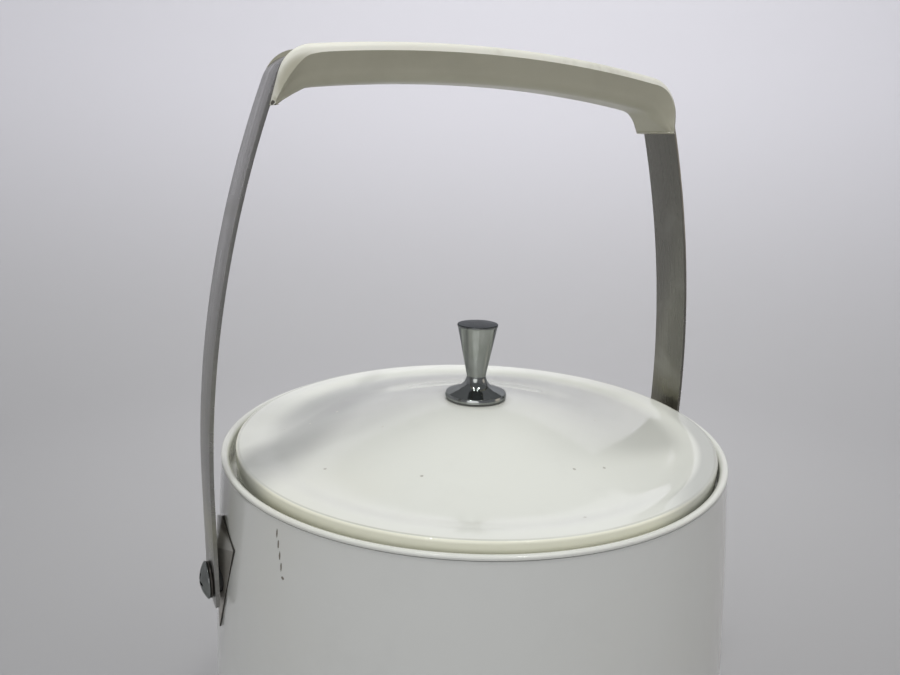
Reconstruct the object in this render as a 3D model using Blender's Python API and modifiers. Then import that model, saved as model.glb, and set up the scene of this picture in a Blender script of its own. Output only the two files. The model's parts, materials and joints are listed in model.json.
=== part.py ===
"""Insulated ice bucket with a hinged strap handle and a lift-off lid.

Metres, +Z up. The origin is on the table under the bucket's centre. The handle turns about the X axis
through the two pivot screws. The front of the bucket is its -Y side.
"""
from math import acos, asin, atan2, cos, hypot, pi, radians, sin, sqrt

import bmesh
import bpy
from mathutils import Euler, Vector

# ---------------------------------------------------------------- driving dimensions
RIM_RADIUS = 0.1016                  # outside of the rolled lip, an eight inch bucket
RIM_Z = 0.1880                       # underside of the rolled lip above the table
PIVOT_DROP = 0.0397                  # pivot axis below RIM_Z
PIVOT_Z = RIM_Z - PIVOT_DROP
GAP = 0.0003                         # left between pieces that touch
OVERCUT = 0.0050                     # drills and cutters run this far beyond the piece

BELLY_RADIUS = 0.1079                # widest part of the outer wall
BELLY_DROP = 0.1120                  # below RIM_Z
WALL_TOP_RADIUS = 0.1013
WALL_FOOT_RADIUS = 0.0975
UPPER_SWELL = 1.6                    # exponents of the wall's swelling above and below the belly
LOWER_SWELL = 2.4
SHELL_WALL = 0.0018
SHELL_LIP_WALL = 0.0009
SHELL_LIP_DEPTH = 0.0095
SHELL_LIP_STEP = 0.0010
FOOT_BEND = 0.0060                   # radius where the wall turns under
HEM_INNER_RADIUS = 0.0820
HEM_Z = 0.0053                       # underside of the shell's inturned hem

LIP_HEIGHT = 0.0009
LIP_INNER_RADIUS = 0.0985
LIP_OUTER_BEND = 0.0008
LIP_INNER_BEND = 0.0020
LINER_COLLAR_WALL = 0.0012
LINER_WALL = 0.0020
LEDGE_DROP = 0.0070                  # lid seat below RIM_Z
LEDGE_BEND = 0.0015
LINER_TOP_RADIUS = 0.0929
LINER_FOOT_RADIUS = 0.0880
LINER_FLOOR_Z = 0.0220
LINER_BEND = 0.0120
FOAM_TOP_DROP = 0.0115
FOAM_POCKET = Vector((0.0150, 0.0200, 0.0200))   # room in the foam for plate and nut
FOAM_POCKET_X = 0.1040

BASE_RADIUS = 0.0930
BASE_Z = 0.0030
BASE_THICKNESS = 0.0020
BASE_EDGE = 0.0005
FOOT_CIRCLE = 0.0660
FOOT_RADIUS = 0.0080
FOOT_EDGE = 0.0006
FOOT_STEM_RADIUS = 0.0026
FOOT_COUNT = 4
BASE_SCREW_CIRCLE = 0.0870
BASE_SCREW_COUNT = 3
BASE_SCREW_RADIUS = 0.0016
BASE_SCREW_HEAD_RADIUS = 0.0030
BASE_SCREW_HEAD = 0.0012
BASE_SCREW_EDGE = 0.0006

STRAP_WIDTH = 0.0179
STRAP_THICKNESS = 0.00143
STRAP_END_DROP = 0.0080              # strap beyond the pivot axis
STRAP_CORNER = 0.0030                # rounding of the strap's square ends
LEG_OUTER_X = 0.1088                 # outer face of the upright leg
LEG_ARC_DROP = 0.0045                # the leg starts to bend in, below RIM_Z
LEG_ARC_RADIUS = 0.3920
ARCH_RADIUS = 0.5270
ARCH_TOP = 0.1489                    # strap's outer face above RIM_Z, at the middle
STRAP_BEND = 0.0115                  # outside radius of the top corners
HANDLE_LEAN = radians(1.8)           # the handle stands leaning towards -Y

GRIP_CLEARANCE = 0.0002
GRIP_LIP_WALL = 0.0025
GRIP_LIP_HEIGHT = 0.0021             # lips standing proud of the strap's outer face
GRIP_DEPTH = 0.0125                  # from lip top to underside at the middle
GRIP_RIGHT_END = {                   # the two ends differ: this one is blunt, the other leans in
    "x": 0.0851,                     # outside of the end's tip
    "z": 0.1250,                     # height of the tip above RIM_Z
    "slope": 2.5,                    # lean of the end's outer line, in degrees
    "corner": 0.0165,                # radius between the end's outer line and the arch
    "toe": 0.0028,                   # thickness of the tip
}
GRIP_LEFT_END = {"x": 0.0849, "z": 0.1270, "slope": 16.5, "corner": 0.0130, "toe": 0.0016}
GRIP_FAIRING_X = 0.0715              # where the underside turns down towards the toe
GRIP_EDGE = 0.0005
CHANNEL_DEPTH = 0.0120

SCREW_HEAD_RADIUS = 0.0068
SCREW_HEAD_HEIGHT = 0.0027
SCREW_SHANK_RADIUS = 0.0030
WASHER_RADIUS = 0.0066
WASHER_THICKNESS = 0.0007
PIVOT_HOLE_RADIUS = 0.0034
PIVOT_DRILL = (0.0900, 0.1150)       # from inside the wall to outside the strap, along X
SPACER_RADIUS = 0.0050
RECESS_LENGTH = 0.0064
RECESS_WIDTH = 0.0011
RECESS_DEPTH = 0.0012

PLATE_HALF_WIDTH = 0.0147            # kite-shaped escutcheon
PLATE_TOP_DROP = 0.0157              # its corners, below RIM_Z
PLATE_SIDE_DROP = 0.0224
PLATE_PEAK_DROP = 0.0275
PLATE_BOTTOM_DROP = 0.0602
PLATE_EDGE = 0.0006
PLATE_PEAK = 0.0026
PLATE_ROOT = 0.0060                  # depth of the blank behind the wall, before it is shaped
BACKING_SIZE = 0.0160
BACKING_STANDOFF = 0.0017            # flat plate behind the curved wall
BACKING_THICKNESS = 0.0012
NUT_RADIUS = 0.0056
NUT_THICKNESS = 0.0026

LID_RADIUS = 0.0969
LID_SHIFT = Vector((0.0008, -0.0004, 0.0))   # the lid sits off centre by part of its play
LID_CREST = 0.0034                   # top of the lid's outer edge above RIM_Z
LID_EDGE = 0.0010
LID_LAND_RADIUS = 0.0920
LID_VALLEY_RADIUS = 0.0810
LID_VALLEY = 0.0020
LID_DOME = 0.0164                    # top of the dome above RIM_Z
LID_DOME_POWER = 0.9                 # fullness of the dome
LID_WALL = 0.0020
LID_RINGS = 8                        # rings of facets on the dome
LID_SKIRT_DROP = 0.0046
PLUG_RADIUS = 0.0912
PLUG_DROP = 0.0175
PLUG_WALL = 0.0015
PLUG_BEND = 0.0040

KNOB_TOP_RADIUS = 0.0084
KNOB_TOP = 0.0471                    # above RIM_Z
KNOB_EDGE = 0.0005
KNOB_NECK_RADIUS = 0.0081            # upper end of the straight neck
KNOB_NECK = 0.0459
KNOB_WAIST_RADIUS = 0.0040           # lower end of the straight neck
KNOB_WAIST = 0.0256
KNOB_FILLET = 0.0060                 # hollow between neck and flange
KNOB_FILLET_TURN = 71                # degrees of its arc
KNOB_FLANGE_RADIUS = 0.0127
KNOB_FLANGE = 0.0173
KNOB_FLANGE_CROWN = 0.0010           # from the flange's widest line up to where its cone starts
KNOB_FLANGE_BEVEL = 0.0003
KNOB_FLANGE_EDGE = 0.0010
KNOB_SEAT_RADIUS = 0.0060
KNOB_BORE_RADIUS = 0.0024
KNOB_BORE_DEPTH = 0.0150
KNOB_SCREW_RADIUS = 0.0020
KNOB_SCREW_PLAY = 0.0020             # between the screw's tip and the end of its bore
KNOB_SCREW_HEAD_RADIUS = 0.0040
KNOB_SCREW_HEAD = 0.0020
KNOB_SCREW_RIM = 0.0008
KNOB_SCREW_CROWN_RADIUS = 0.0024
KNOB_SLOT_WIDTH = 0.0010
KNOB_SLOT_DEPTH = 0.0008
KNOB_WASHER_RADIUS = 0.0080
KNOB_WASHER = 0.0010

BIG_STEPS = 40                       # facets round the bucket and the lid
SMALL_STEPS = 20                     # facets round small hardware
KNOB_STEPS = 24
FIXING_STEPS = 16
MERGE = 0.00001


# ---------------------------------------------------------------- scene, collections and materials
def clear_scene():
    for item in list(bpy.data.objects):
        bpy.data.objects.remove(item, do_unlink=True)


def new_collection(name):
    group = bpy.data.collections.new(name)
    bpy.context.scene.collection.children.link(group)
    return group


def principled(name, color, roughness, metallic=0.0):
    material = bpy.data.materials.new(name)
    material.use_nodes = True
    shader = material.node_tree.nodes["Principled BSDF"]
    shader.inputs["Base Color"].default_value = (*color, 1.0)
    shader.inputs["Roughness"].default_value = roughness
    shader.inputs["Metallic"].default_value = metallic
    material.diffuse_color = (*color, 1.0)
    return material


def add_object(name, mesh, material=None, parent=None, group=None):
    item = bpy.data.objects.new(name, mesh)
    (group or PARTS).objects.link(item)
    if material:
        mesh.materials.append(material)
    item.parent = parent
    return item


def add_cutter(name, mesh):
    cutter = add_object(name, mesh, group=CUTTERS)
    cutter.hide_render = True
    cutter.display_type = "WIRE"
    return cutter


def add_empty(name, location, rotation=(0.0, 0.0, 0.0), parent=None):
    empty = bpy.data.objects.new(name, None)
    PARTS.objects.link(empty)
    empty.location = location
    empty.rotation_euler = Euler(rotation)
    empty.empty_display_size = 0.02
    empty.parent = parent
    return empty


# ---------------------------------------------------------------- shaping helpers
def arc(centre, radius, start, end, steps):
    """Points on a circle from the start angle to the end angle, in degrees, counted from +X."""
    turn = (end - start) / steps
    angles = [radians(start + turn * i) for i in range(steps + 1)]
    return [(centre[0] + radius * cos(a), centre[1] + radius * sin(a)) for a in angles]


def circles_meet(centre_a, radius_a, centre_b, radius_b):
    """The upper right crossing of two circles."""
    span = hypot(centre_b[0] - centre_a[0], centre_b[1] - centre_a[1])
    bearing = atan2(centre_b[1] - centre_a[1], centre_b[0] - centre_a[0])
    swing = acos((radius_a ** 2 + span ** 2 - radius_b ** 2) / (2 * radius_a * span))
    crossings = []
    for sign in (-1, 1):
        x = centre_a[0] + radius_a * cos(bearing + sign * swing)
        z = centre_a[1] + radius_a * sin(bearing + sign * swing)
        crossings.append((x, z))
    return max(crossings, key=lambda point: point[0] + point[1])


def heading(origin, point):
    """Direction from origin to point, in degrees."""
    return atan2(point[1] - origin[1], point[0] - origin[0]) * 180 / pi


def smooth_mesh(mesh, sharp_angle=35):
    mesh.shade_smooth()
    mesh.set_sharp_from_angle(angle=radians(sharp_angle))


def profile_mesh(name, points, closed):
    mesh = bpy.data.meshes.new(name)
    edges = [(i, i + 1) for i in range(len(points) - 1)]
    if closed:
        edges.append((len(points) - 1, 0))
    mesh.from_pydata([(r, 0.0, z) for r, z in points], edges, [])
    return mesh


def lathe(name, points, material, steps, closed=False, parent=None, group=None):
    """Turns a profile of (radius, height) about the Z axis, given down its outer side."""
    item = add_object(name, profile_mesh(name, points, closed), material, parent, group)
    screw = item.modifiers.new("Turn", "SCREW")
    screw.axis = "Z"
    screw.steps = steps
    screw.render_steps = steps
    screw.use_merge_vertices = True
    screw.merge_threshold = MERGE
    screw.use_smooth_shade = True
    return item


def cut(item, cutter, operation="DIFFERENCE"):
    step = item.modifiers.new("Cut", "BOOLEAN")
    step.operation = operation
    step.solver = "EXACT"
    step.object = cutter


def cylinder_mesh(name, radius, low, high, steps=SMALL_STEPS):
    """A cylinder about Z from low to high."""
    mesh = bpy.data.meshes.new(name)
    shape = bmesh.new()
    bmesh.ops.create_cone(shape, cap_ends=True, segments=steps, radius1=radius, radius2=radius,
                          depth=high - low)
    bmesh.ops.translate(shape, verts=shape.verts, vec=(0.0, 0.0, (low + high) / 2))
    shape.to_mesh(mesh)
    shape.free()
    return mesh


def box_mesh(name, size, centre=(0.0, 0.0, 0.0)):
    mesh = bpy.data.meshes.new(name)
    shape = bmesh.new()
    bmesh.ops.create_cube(shape, size=1.0)
    bmesh.ops.scale(shape, verts=shape.verts, vec=size)
    bmesh.ops.translate(shape, verts=shape.verts, vec=centre)
    shape.to_mesh(mesh)
    shape.free()
    return mesh


def extruded_outline(name, outline, half_width):
    """A flat outline in the XZ plane, given half thickness along Y."""
    mesh = bpy.data.meshes.new(name)
    shape = bmesh.new()
    corners = [shape.verts.new((x, -half_width, z)) for x, z in outline]
    face = shape.faces.new(corners)
    raised = bmesh.ops.extrude_face_region(shape, geom=[face])
    moved = [part for part in raised["geom"] if isinstance(part, bmesh.types.BMVert)]
    bmesh.ops.translate(shape, verts=moved, vec=(0.0, 2 * half_width, 0.0))
    bmesh.ops.recalc_face_normals(shape, faces=shape.faces)
    shape.to_mesh(mesh)
    shape.free()
    return mesh


# ---------------------------------------------------------------- outer body
def wall_radius(z):
    """Outside radius of the outer wall at a height above the table."""
    drop = RIM_Z - z
    if drop < BELLY_DROP:
        share = (BELLY_DROP - drop) / BELLY_DROP
        return BELLY_RADIUS - (BELLY_RADIUS - WALL_TOP_RADIUS) * share ** UPPER_SWELL
    foot_drop = RIM_Z - HEM_Z - FOOT_BEND
    share = (drop - BELLY_DROP) / (foot_drop - BELLY_DROP)
    return BELLY_RADIUS - (BELLY_RADIUS - WALL_FOOT_RADIUS) * min(share, 1.0) ** LOWER_SWELL


def wall_points(offset, top, bottom, steps):
    """The wall's line moved in or out by offset, from top to bottom."""
    heights = [top + (bottom - top) * i / steps for i in range(steps + 1)]
    return [(wall_radius(z) + offset, z) for z in heights]


def build_outer_shell():
    top = RIM_Z - GAP
    turn_z = HEM_Z + FOOT_BEND
    bend_centre = (WALL_FOOT_RADIUS - FOOT_BEND, turn_z)
    outside = wall_points(0.0, top, turn_z, 9)
    outside += arc(bend_centre, FOOT_BEND, 0, -90, 4)[1:]
    hem = [(HEM_INNER_RADIUS, HEM_Z), (HEM_INNER_RADIUS, HEM_Z + SHELL_WALL)]
    inner_bend = arc(bend_centre, FOOT_BEND - SHELL_WALL, -90, 0, 3)
    inside = wall_points(-SHELL_WALL, turn_z, RIM_Z - SHELL_LIP_DEPTH, 6)[1:]
    collar_radius = WALL_TOP_RADIUS - SHELL_LIP_WALL
    collar = [(collar_radius, RIM_Z - SHELL_LIP_DEPTH + SHELL_LIP_STEP), (collar_radius, top)]
    profile = outside + hem + inner_bend + inside + collar
    shell = lathe("outer_shell", profile, WHITE, BIG_STEPS, closed=True)
    for side in (-1, 1):
        cut(shell, pivot_hole_cutter(f"shell_pivot_hole{side}", side, SCREW_SHANK_RADIUS + GAP))
    for index in range(BASE_SCREW_COUNT):
        cut(shell, base_drill(f"hem_hole{index}", BASE_SCREW_RADIUS + GAP, base_screw_place(index)))


def pivot_hole_cutter(name, side, radius):
    """A cylinder along X through one pivot, from inside the wall to outside the strap."""
    hole = add_cutter(name, cylinder_mesh(name, radius, *PIVOT_DRILL))
    hole.location = (0.0, 0.0, PIVOT_Z)
    hole.rotation_euler = (0.0, side * pi / 2, 0.0)
    return hole


def liner_outside(offset):
    """The liner's outer line from under the lid seat to the middle of its floor, moved out by offset."""
    seat_z = RIM_Z - LEDGE_DROP - LINER_WALL - offset
    top_radius = LINER_TOP_RADIUS + LINER_WALL + offset
    foot_radius = LINER_FOOT_RADIUS + LINER_WALL + offset
    bend = LINER_BEND + LINER_WALL + offset
    bend_centre = (foot_radius - bend, LINER_FLOOR_Z + LINER_BEND)
    line = [(top_radius, seat_z)]
    line += arc(bend_centre, bend, 0, -90, 6)
    line.append((0.0, LINER_FLOOR_Z - LINER_WALL - offset))
    return line


def build_inner_liner():
    collar_radius = LIP_INNER_RADIUS + LINER_COLLAR_WALL
    seat_z = RIM_Z - LEDGE_DROP
    lip_top = RIM_Z + LIP_HEIGHT
    outside = arc((RIM_RADIUS - LIP_OUTER_BEND, lip_top - LIP_OUTER_BEND), LIP_OUTER_BEND, 90, 0, 3)
    outside += [(RIM_RADIUS, RIM_Z), (collar_radius, RIM_Z), (collar_radius, seat_z - LINER_WALL)]
    outside += liner_outside(0.0)
    bend_centre = (LINER_FOOT_RADIUS - LINER_BEND, LINER_FLOOR_Z + LINER_BEND)
    inside = [(0.0, LINER_FLOOR_Z)]
    inside += arc(bend_centre, LINER_BEND, -90, 0, 6)
    inside += arc((LINER_TOP_RADIUS + LEDGE_BEND, seat_z - LEDGE_BEND), LEDGE_BEND, 180, 90, 3)
    inside += [(LIP_INNER_RADIUS, seat_z)]
    inside += arc((LIP_INNER_RADIUS + LIP_INNER_BEND, lip_top - LIP_INNER_BEND), LIP_INNER_BEND, 180, 90, 2)
    lathe("inner_liner", inside + outside, WHITE, BIG_STEPS)


def build_insulation():
    """Foam that fills the space between shell and liner, with a pocket at each pivot."""
    under = HEM_Z + SHELL_WALL + GAP
    top = RIM_Z - FOAM_TOP_DROP
    shell_offset = -SHELL_WALL - GAP
    turn_z = HEM_Z + FOOT_BEND
    outside = wall_points(shell_offset, top, turn_z, 6)
    bend_centre = (WALL_FOOT_RADIUS - FOOT_BEND, turn_z)
    outside += arc(bend_centre, FOOT_BEND + shell_offset, 0, -90, 3)[1:]
    outside.append((0.0, under))
    inside = list(reversed(liner_outside(GAP)))[:-1]
    inside.append((LINER_TOP_RADIUS + LINER_WALL + GAP, top))
    foam = lathe("insulation_foam", inside + outside, FOAM, BIG_STEPS)
    for side in (-1, 1):
        pocket = add_cutter(f"foam_pocket{side}", box_mesh("foam_pocket", FOAM_POCKET))
        pocket.location = (side * FOAM_POCKET_X, 0.0, PIVOT_Z)
        cut(foam, pocket)


# ---------------------------------------------------------------- base
def base_screw_place(index):
    angle = radians(90 + 360 * index / BASE_SCREW_COUNT)
    return (BASE_SCREW_CIRCLE * cos(angle), BASE_SCREW_CIRCLE * sin(angle), 0.0)


def foot_place(index):
    angle = radians(45 + 360 * index / FOOT_COUNT)
    return (FOOT_CIRCLE * cos(angle), FOOT_CIRCLE * sin(angle), 0.0)


def base_drill(name, radius, place):
    """An upright cylinder through the base plate and the shell's hem."""
    high = HEM_Z + SHELL_WALL + OVERCUT
    drill = add_cutter(name, cylinder_mesh(name, radius, -OVERCUT, high))
    drill.location = place
    return drill


def build_base():
    top = BASE_Z + BASE_THICKNESS
    rim = [(BASE_RADIUS - BASE_EDGE, top), (BASE_RADIUS, top - BASE_EDGE)]
    rim += [(BASE_RADIUS, BASE_Z + BASE_EDGE), (BASE_RADIUS - BASE_EDGE, BASE_Z)]
    plate = lathe("base_plate", [(0.0, top)] + rim + [(0.0, BASE_Z)], BASE_GREY, BIG_STEPS)
    for index in range(BASE_SCREW_COUNT):
        place = base_screw_place(index)
        cut(plate, base_drill(f"base_hole{index}", BASE_SCREW_RADIUS + GAP, place))
        build_base_screw(index, place)
    for index in range(FOOT_COUNT):
        place = foot_place(index)
        cut(plate, base_drill(f"stem_hole{index}", FOOT_STEM_RADIUS + GAP, place))
        build_foot(index, place)


def build_base_screw(index, place):
    head_top = BASE_Z - GAP
    head_low = head_top - BASE_SCREW_HEAD
    head_low_radius = BASE_SCREW_HEAD_RADIUS - BASE_SCREW_EDGE
    tip = HEM_Z + SHELL_WALL
    line = [(0.0, tip), (BASE_SCREW_RADIUS, tip), (BASE_SCREW_RADIUS, head_top)]
    line += [(BASE_SCREW_HEAD_RADIUS, head_top), (head_low_radius, head_low), (0.0, head_low)]
    screw = lathe(f"base_screw_{index + 1}", line, STEEL, FIXING_STEPS)
    screw.location = place


def build_foot(index, place):
    top = BASE_Z - GAP
    stem_top = BASE_Z + BASE_THICKNESS
    line = [(0.0, stem_top), (FOOT_STEM_RADIUS, stem_top), (FOOT_STEM_RADIUS, top)]
    line += [(FOOT_RADIUS, top), (FOOT_RADIUS, FOOT_EDGE), (FOOT_RADIUS - FOOT_EDGE, 0.0), (0.0, 0.0)]
    foot = lathe(f"rubber_foot_{index + 1}", line, RUBBER, SMALL_STEPS)
    foot.location = place


# ---------------------------------------------------------------- handle
def strap_path(offset):
    """Right half of the strap, moved out by offset from its outer face, from its end up to the top middle.

    Heights are above the pivot axis. The leg is upright, bends in along a wide arc, turns the corner
    and joins the shallow arch over the top.
    """
    leg_x = LEG_OUTER_X + offset
    leg_centre = (LEG_OUTER_X - LEG_ARC_RADIUS, PIVOT_DROP - LEG_ARC_DROP)
    arch_centre = (0.0, PIVOT_DROP + ARCH_TOP - ARCH_RADIUS)
    leg_inset = LEG_ARC_RADIUS - STRAP_BEND
    bend_centre = circles_meet(leg_centre, leg_inset, arch_centre, ARCH_RADIUS - STRAP_BEND)
    leg_end = heading(leg_centre, bend_centre)
    arch_start = heading(arch_centre, bend_centre)
    points = [(leg_x, -STRAP_END_DROP), (leg_x, 0.0)]
    points += arc(leg_centre, LEG_ARC_RADIUS + offset, 0, leg_end, 12)
    points += arc(bend_centre, STRAP_BEND + offset, leg_end, arch_start, 5)[1:]
    points += arc(arch_centre, ARCH_RADIUS + offset, arch_start, 90, 8)[1:]
    return points


def whole_path(offset):
    right = strap_path(offset)
    left = [(-x, z) for x, z in reversed(right[:-1])]
    return right + left


def strap_rows():
    """Rows along the flat blank: the path points, with the rounded ends' narrower rows put in."""
    path = [Vector((x, z)) for x, z in whole_path(-STRAP_THICKNESS / 2)]
    first, last = path[0], path[-1]
    up = Vector((0.0, 1.0))
    rows = []
    for i in range(5):
        swing = radians(90 * i / 4)
        rise = STRAP_CORNER * (1 - cos(swing))
        half = STRAP_WIDTH / 2 - STRAP_CORNER * (1 - sin(swing))
        rows.append((rise, half))
    start = [(first + up * rise, half) for rise, half in rows]
    end = [(last + up * rise, half) for rise, half in reversed(rows)]
    middle = [(point, STRAP_WIDTH / 2) for point in path[1:-1]]
    return start + middle + end


def build_strap(pivot):
    """A flat blank bent round the bucket: a strip of quads along the path, given thickness."""
    mesh = bpy.data.meshes.new("handle_strap")
    shape = bmesh.new()
    pairs = []
    for point, half in strap_rows():
        near = shape.verts.new((point.x, -half, point.y))
        far = shape.verts.new((point.x, half, point.y))
        pairs.append((near, far))
    for (near_a, far_a), (near_b, far_b) in zip(pairs, pairs[1:]):
        shape.faces.new((near_a, far_a, far_b, near_b))
    shape.to_mesh(mesh)
    shape.free()
    strap = add_object("handle_strap", mesh, STEEL, pivot)
    solid = strap.modifiers.new("Thickness", "SOLIDIFY")
    solid.thickness = STRAP_THICKNESS
    solid.offset = 0.0
    solid.use_even_offset = True
    for side in (-1, 1):
        cut(strap, pivot_hole_cutter(f"strap_hole{side}", side, PIVOT_HOLE_RADIUS))
    return strap


def grip_half(end):
    """Outline of the grip's right half above the pivot axis, shaped by one end: lip top to underside."""
    top = PIVOT_DROP + ARCH_TOP + GRIP_LIP_HEIGHT
    arch_radius = ARCH_RADIUS + GRIP_LIP_HEIGHT
    arch_centre = (0.0, top - arch_radius)
    slope = radians(end["slope"])
    tip_z = PIVOT_DROP + end["z"]
    reach = end["x"] * cos(slope) + (tip_z - arch_centre[1]) * sin(slope) - end["corner"]
    inset = arch_radius - end["corner"]
    swing = slope + acos(reach / inset)
    corner = (inset * cos(swing), arch_centre[1] + inset * sin(swing))
    corner_end = heading(arch_centre, corner)
    under_radius = arch_radius - GRIP_DEPTH
    fairing_angle = acos(GRIP_FAIRING_X / under_radius) * 180 / pi
    line = arc(arch_centre, arch_radius, 90, corner_end, 8)
    line += arc(corner, end["corner"], corner_end, end["slope"], 6)[1:]
    line += [(end["x"], tip_z), (end["x"] - end["toe"], tip_z)]
    return line + arc(arch_centre, under_radius, fairing_angle, 90, 8)


def grip_outline():
    """Side outline of the grip: lip tops, ends, toes, fairings and underside, both halves."""
    right = grip_half(GRIP_RIGHT_END)
    left = [(-x, z) for x, z in reversed(grip_half(GRIP_LEFT_END)[1:-1])]
    return right + left


def channel_outline():
    """What the grip leaves free: everything outside the strap's inner face."""
    inner = whole_path(-STRAP_THICKNESS - GRIP_CLEARANCE)
    outer = whole_path(CHANNEL_DEPTH)
    return inner + list(reversed(outer))


def build_grip(pivot):
    slot_half = STRAP_WIDTH / 2 + GRIP_CLEARANCE
    body = extruded_outline("handle_grip", grip_outline(), slot_half + GRIP_LIP_WALL)
    grip = add_object("handle_grip", body, IVORY, pivot)
    channel = add_cutter("grip_channel", extruded_outline("grip_channel", channel_outline(), slot_half))
    channel.parent = pivot
    round_edges = grip.modifiers.new("Round edges", "BEVEL")
    round_edges.width = GRIP_EDGE
    round_edges.segments = 1
    round_edges.limit_method = "ANGLE"
    round_edges.angle_limit = radians(50)
    cut(grip, channel)


# ---------------------------------------------------------------- pivots
def side_name(side):
    return "right" if side > 0 else "left"


def along_x(item, side, x=0.0):
    """Turns a piece made about Z so that its +Z points out along X on that side."""
    item.location = (side * x, 0.0, PIVOT_Z)
    item.rotation_euler = (0.0, side * pi / 2, 0.0)


def build_escutcheon(side, wall_cutter):
    """A kite-shaped pyramid plate that follows the wall. Its peak stands over the widest line."""
    mesh = bpy.data.meshes.new("escutcheon")
    shape = bmesh.new()
    bmesh.ops.create_circle(shape, cap_ends=True, segments=4, radius=1.0)
    corners = [
        (0.0, RIM_Z - PLATE_TOP_DROP),
        (PLATE_HALF_WIDTH, RIM_Z - PLATE_SIDE_DROP),
        (0.0, RIM_Z - PLATE_BOTTOM_DROP),
        (-PLATE_HALF_WIDTH, RIM_Z - PLATE_SIDE_DROP),
    ]
    for vert, (y, z) in zip(shape.verts, corners):
        vert.co = (wall_reach(y, z) - PLATE_ROOT, y, z)
    lifted = bmesh.ops.extrude_face_region(shape, geom=list(shape.faces))
    tops = [part for part in lifted["geom"] if isinstance(part, bmesh.types.BMVert)]
    bmesh.ops.translate(shape, verts=tops, vec=(PLATE_ROOT + PLATE_EDGE, 0.0, 0.0))
    front = [face for face in shape.faces if all(vert in tops for vert in face.verts)]
    poked = bmesh.ops.poke(shape, faces=front)
    peak_z = RIM_Z - PLATE_PEAK_DROP
    poked["verts"][0].co = (wall_radius(peak_z) + PLATE_PEAK, 0.0, peak_z)
    bmesh.ops.scale(shape, verts=shape.verts, vec=(side, 1.0, 1.0))
    bmesh.ops.recalc_face_normals(shape, faces=shape.faces)
    shape.to_mesh(mesh)
    shape.free()
    plate = add_object(f"escutcheon_{side_name(side)}", mesh, CHROME)
    cut(plate, wall_cutter)
    cut(plate, pivot_hole_cutter(f"plate_hole{side}", side, SPACER_RADIUS + GAP))


def wall_reach(y, z):
    """How far out in X the wall is at a point that lies y off the pivot plane."""
    return sqrt((wall_radius(z) + GAP) ** 2 - y ** 2)


def build_wall_cutter():
    """The solid inside of the outer wall, a touching gap larger, that shapes what lies on the wall."""
    low = RIM_Z - BELLY_DROP
    line = [(0.0, RIM_Z)] + wall_points(GAP, RIM_Z, low, 14) + [(0.0, low)]
    cutter = lathe("wall_cutter", line, None, BIG_STEPS, group=CUTTERS)
    cutter.hide_render = True
    cutter.display_type = "WIRE"
    return cutter


def build_pivot(side):
    name = side_name(side)
    wall_x = wall_radius(PIVOT_Z - SPACER_RADIUS)
    strap_inner = LEG_OUTER_X - STRAP_THICKNESS
    washer_in = LEG_OUTER_X + GAP
    washer_out = washer_in + WASHER_THICKNESS
    head_in = washer_out + GAP
    head_out = head_in + SCREW_HEAD_HEIGHT
    bore = SCREW_SHANK_RADIUS + GAP
    tube(f"pivot_spacer_{name}", SPACER_RADIUS, bore, wall_x + GAP, strap_inner - GAP, NYLON, side)
    tube(f"pivot_washer_{name}", WASHER_RADIUS, bore, washer_in, washer_out, DARK_STEEL, side)
    plate_out = wall_radius(PIVOT_Z) - SHELL_WALL - BACKING_STANDOFF
    plate_in = plate_out - BACKING_THICKNESS
    build_backing_plate(side, plate_in, plate_out)
    nut_out = plate_in - GAP
    nut_in = nut_out - NUT_THICKNESS
    tube(f"pivot_nut_{name}", NUT_RADIUS, bore, nut_in, nut_out, STEEL, side, steps=6)
    build_pivot_screw(side, nut_in, head_in, head_out)


def tube(name, outer, inner, low, high, material, side, steps=SMALL_STEPS):
    """A ring along X between two distances from the centre plane."""
    piece = add_object(name, cylinder_mesh(name, outer, low, high, steps), material)
    along_x(piece, side)
    bore = add_cutter(f"{name}_bore", cylinder_mesh(f"{name}_bore", inner, low - OVERCUT, high + OVERCUT))
    along_x(bore, side)
    cut(piece, bore)
    return piece


def build_backing_plate(side, low, high):
    name = side_name(side)
    size = (high - low, BACKING_SIZE, BACKING_SIZE)
    plate = add_object(f"backing_plate_{name}", box_mesh("backing_plate", size), STEEL)
    plate.location = (side * (low + high) / 2, 0.0, PIVOT_Z)
    cut(plate, pivot_hole_cutter(f"backing_hole{side}", side, SCREW_SHANK_RADIUS + GAP))


def build_pivot_screw(side, tip, head_in, head_out):
    """Domed head with a cross recess, and a plain shank through to the nut."""
    dome = head_out - head_in
    dome_radius = (SCREW_HEAD_RADIUS ** 2 + dome ** 2) / (2 * dome)
    spread = asin(SCREW_HEAD_RADIUS / dome_radius) * 180 / pi
    line = arc((0.0, head_out - dome_radius), dome_radius, 90, 90 - spread, 6)
    line += [(SCREW_SHANK_RADIUS, head_in), (SCREW_SHANK_RADIUS, tip), (0.0, tip)]
    line[0] = (0.0, line[0][1])
    screw = lathe(f"pivot_screw_{side_name(side)}", line, CHROME, SMALL_STEPS)
    along_x(screw, side)
    for index, size in enumerate([(RECESS_LENGTH, RECESS_WIDTH), (RECESS_WIDTH, RECESS_LENGTH)]):
        blade_mesh = box_mesh("recess_blade", (size[0], size[1], 2 * RECESS_DEPTH))
        blade = add_cutter(f"recess_blade{side}{index}", blade_mesh)
        blade.location = (side * head_out, 0.0, PIVOT_Z)
        blade.rotation_euler = Euler((0.0, side * pi / 2, 0.0))
        cut(screw, blade)


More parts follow.
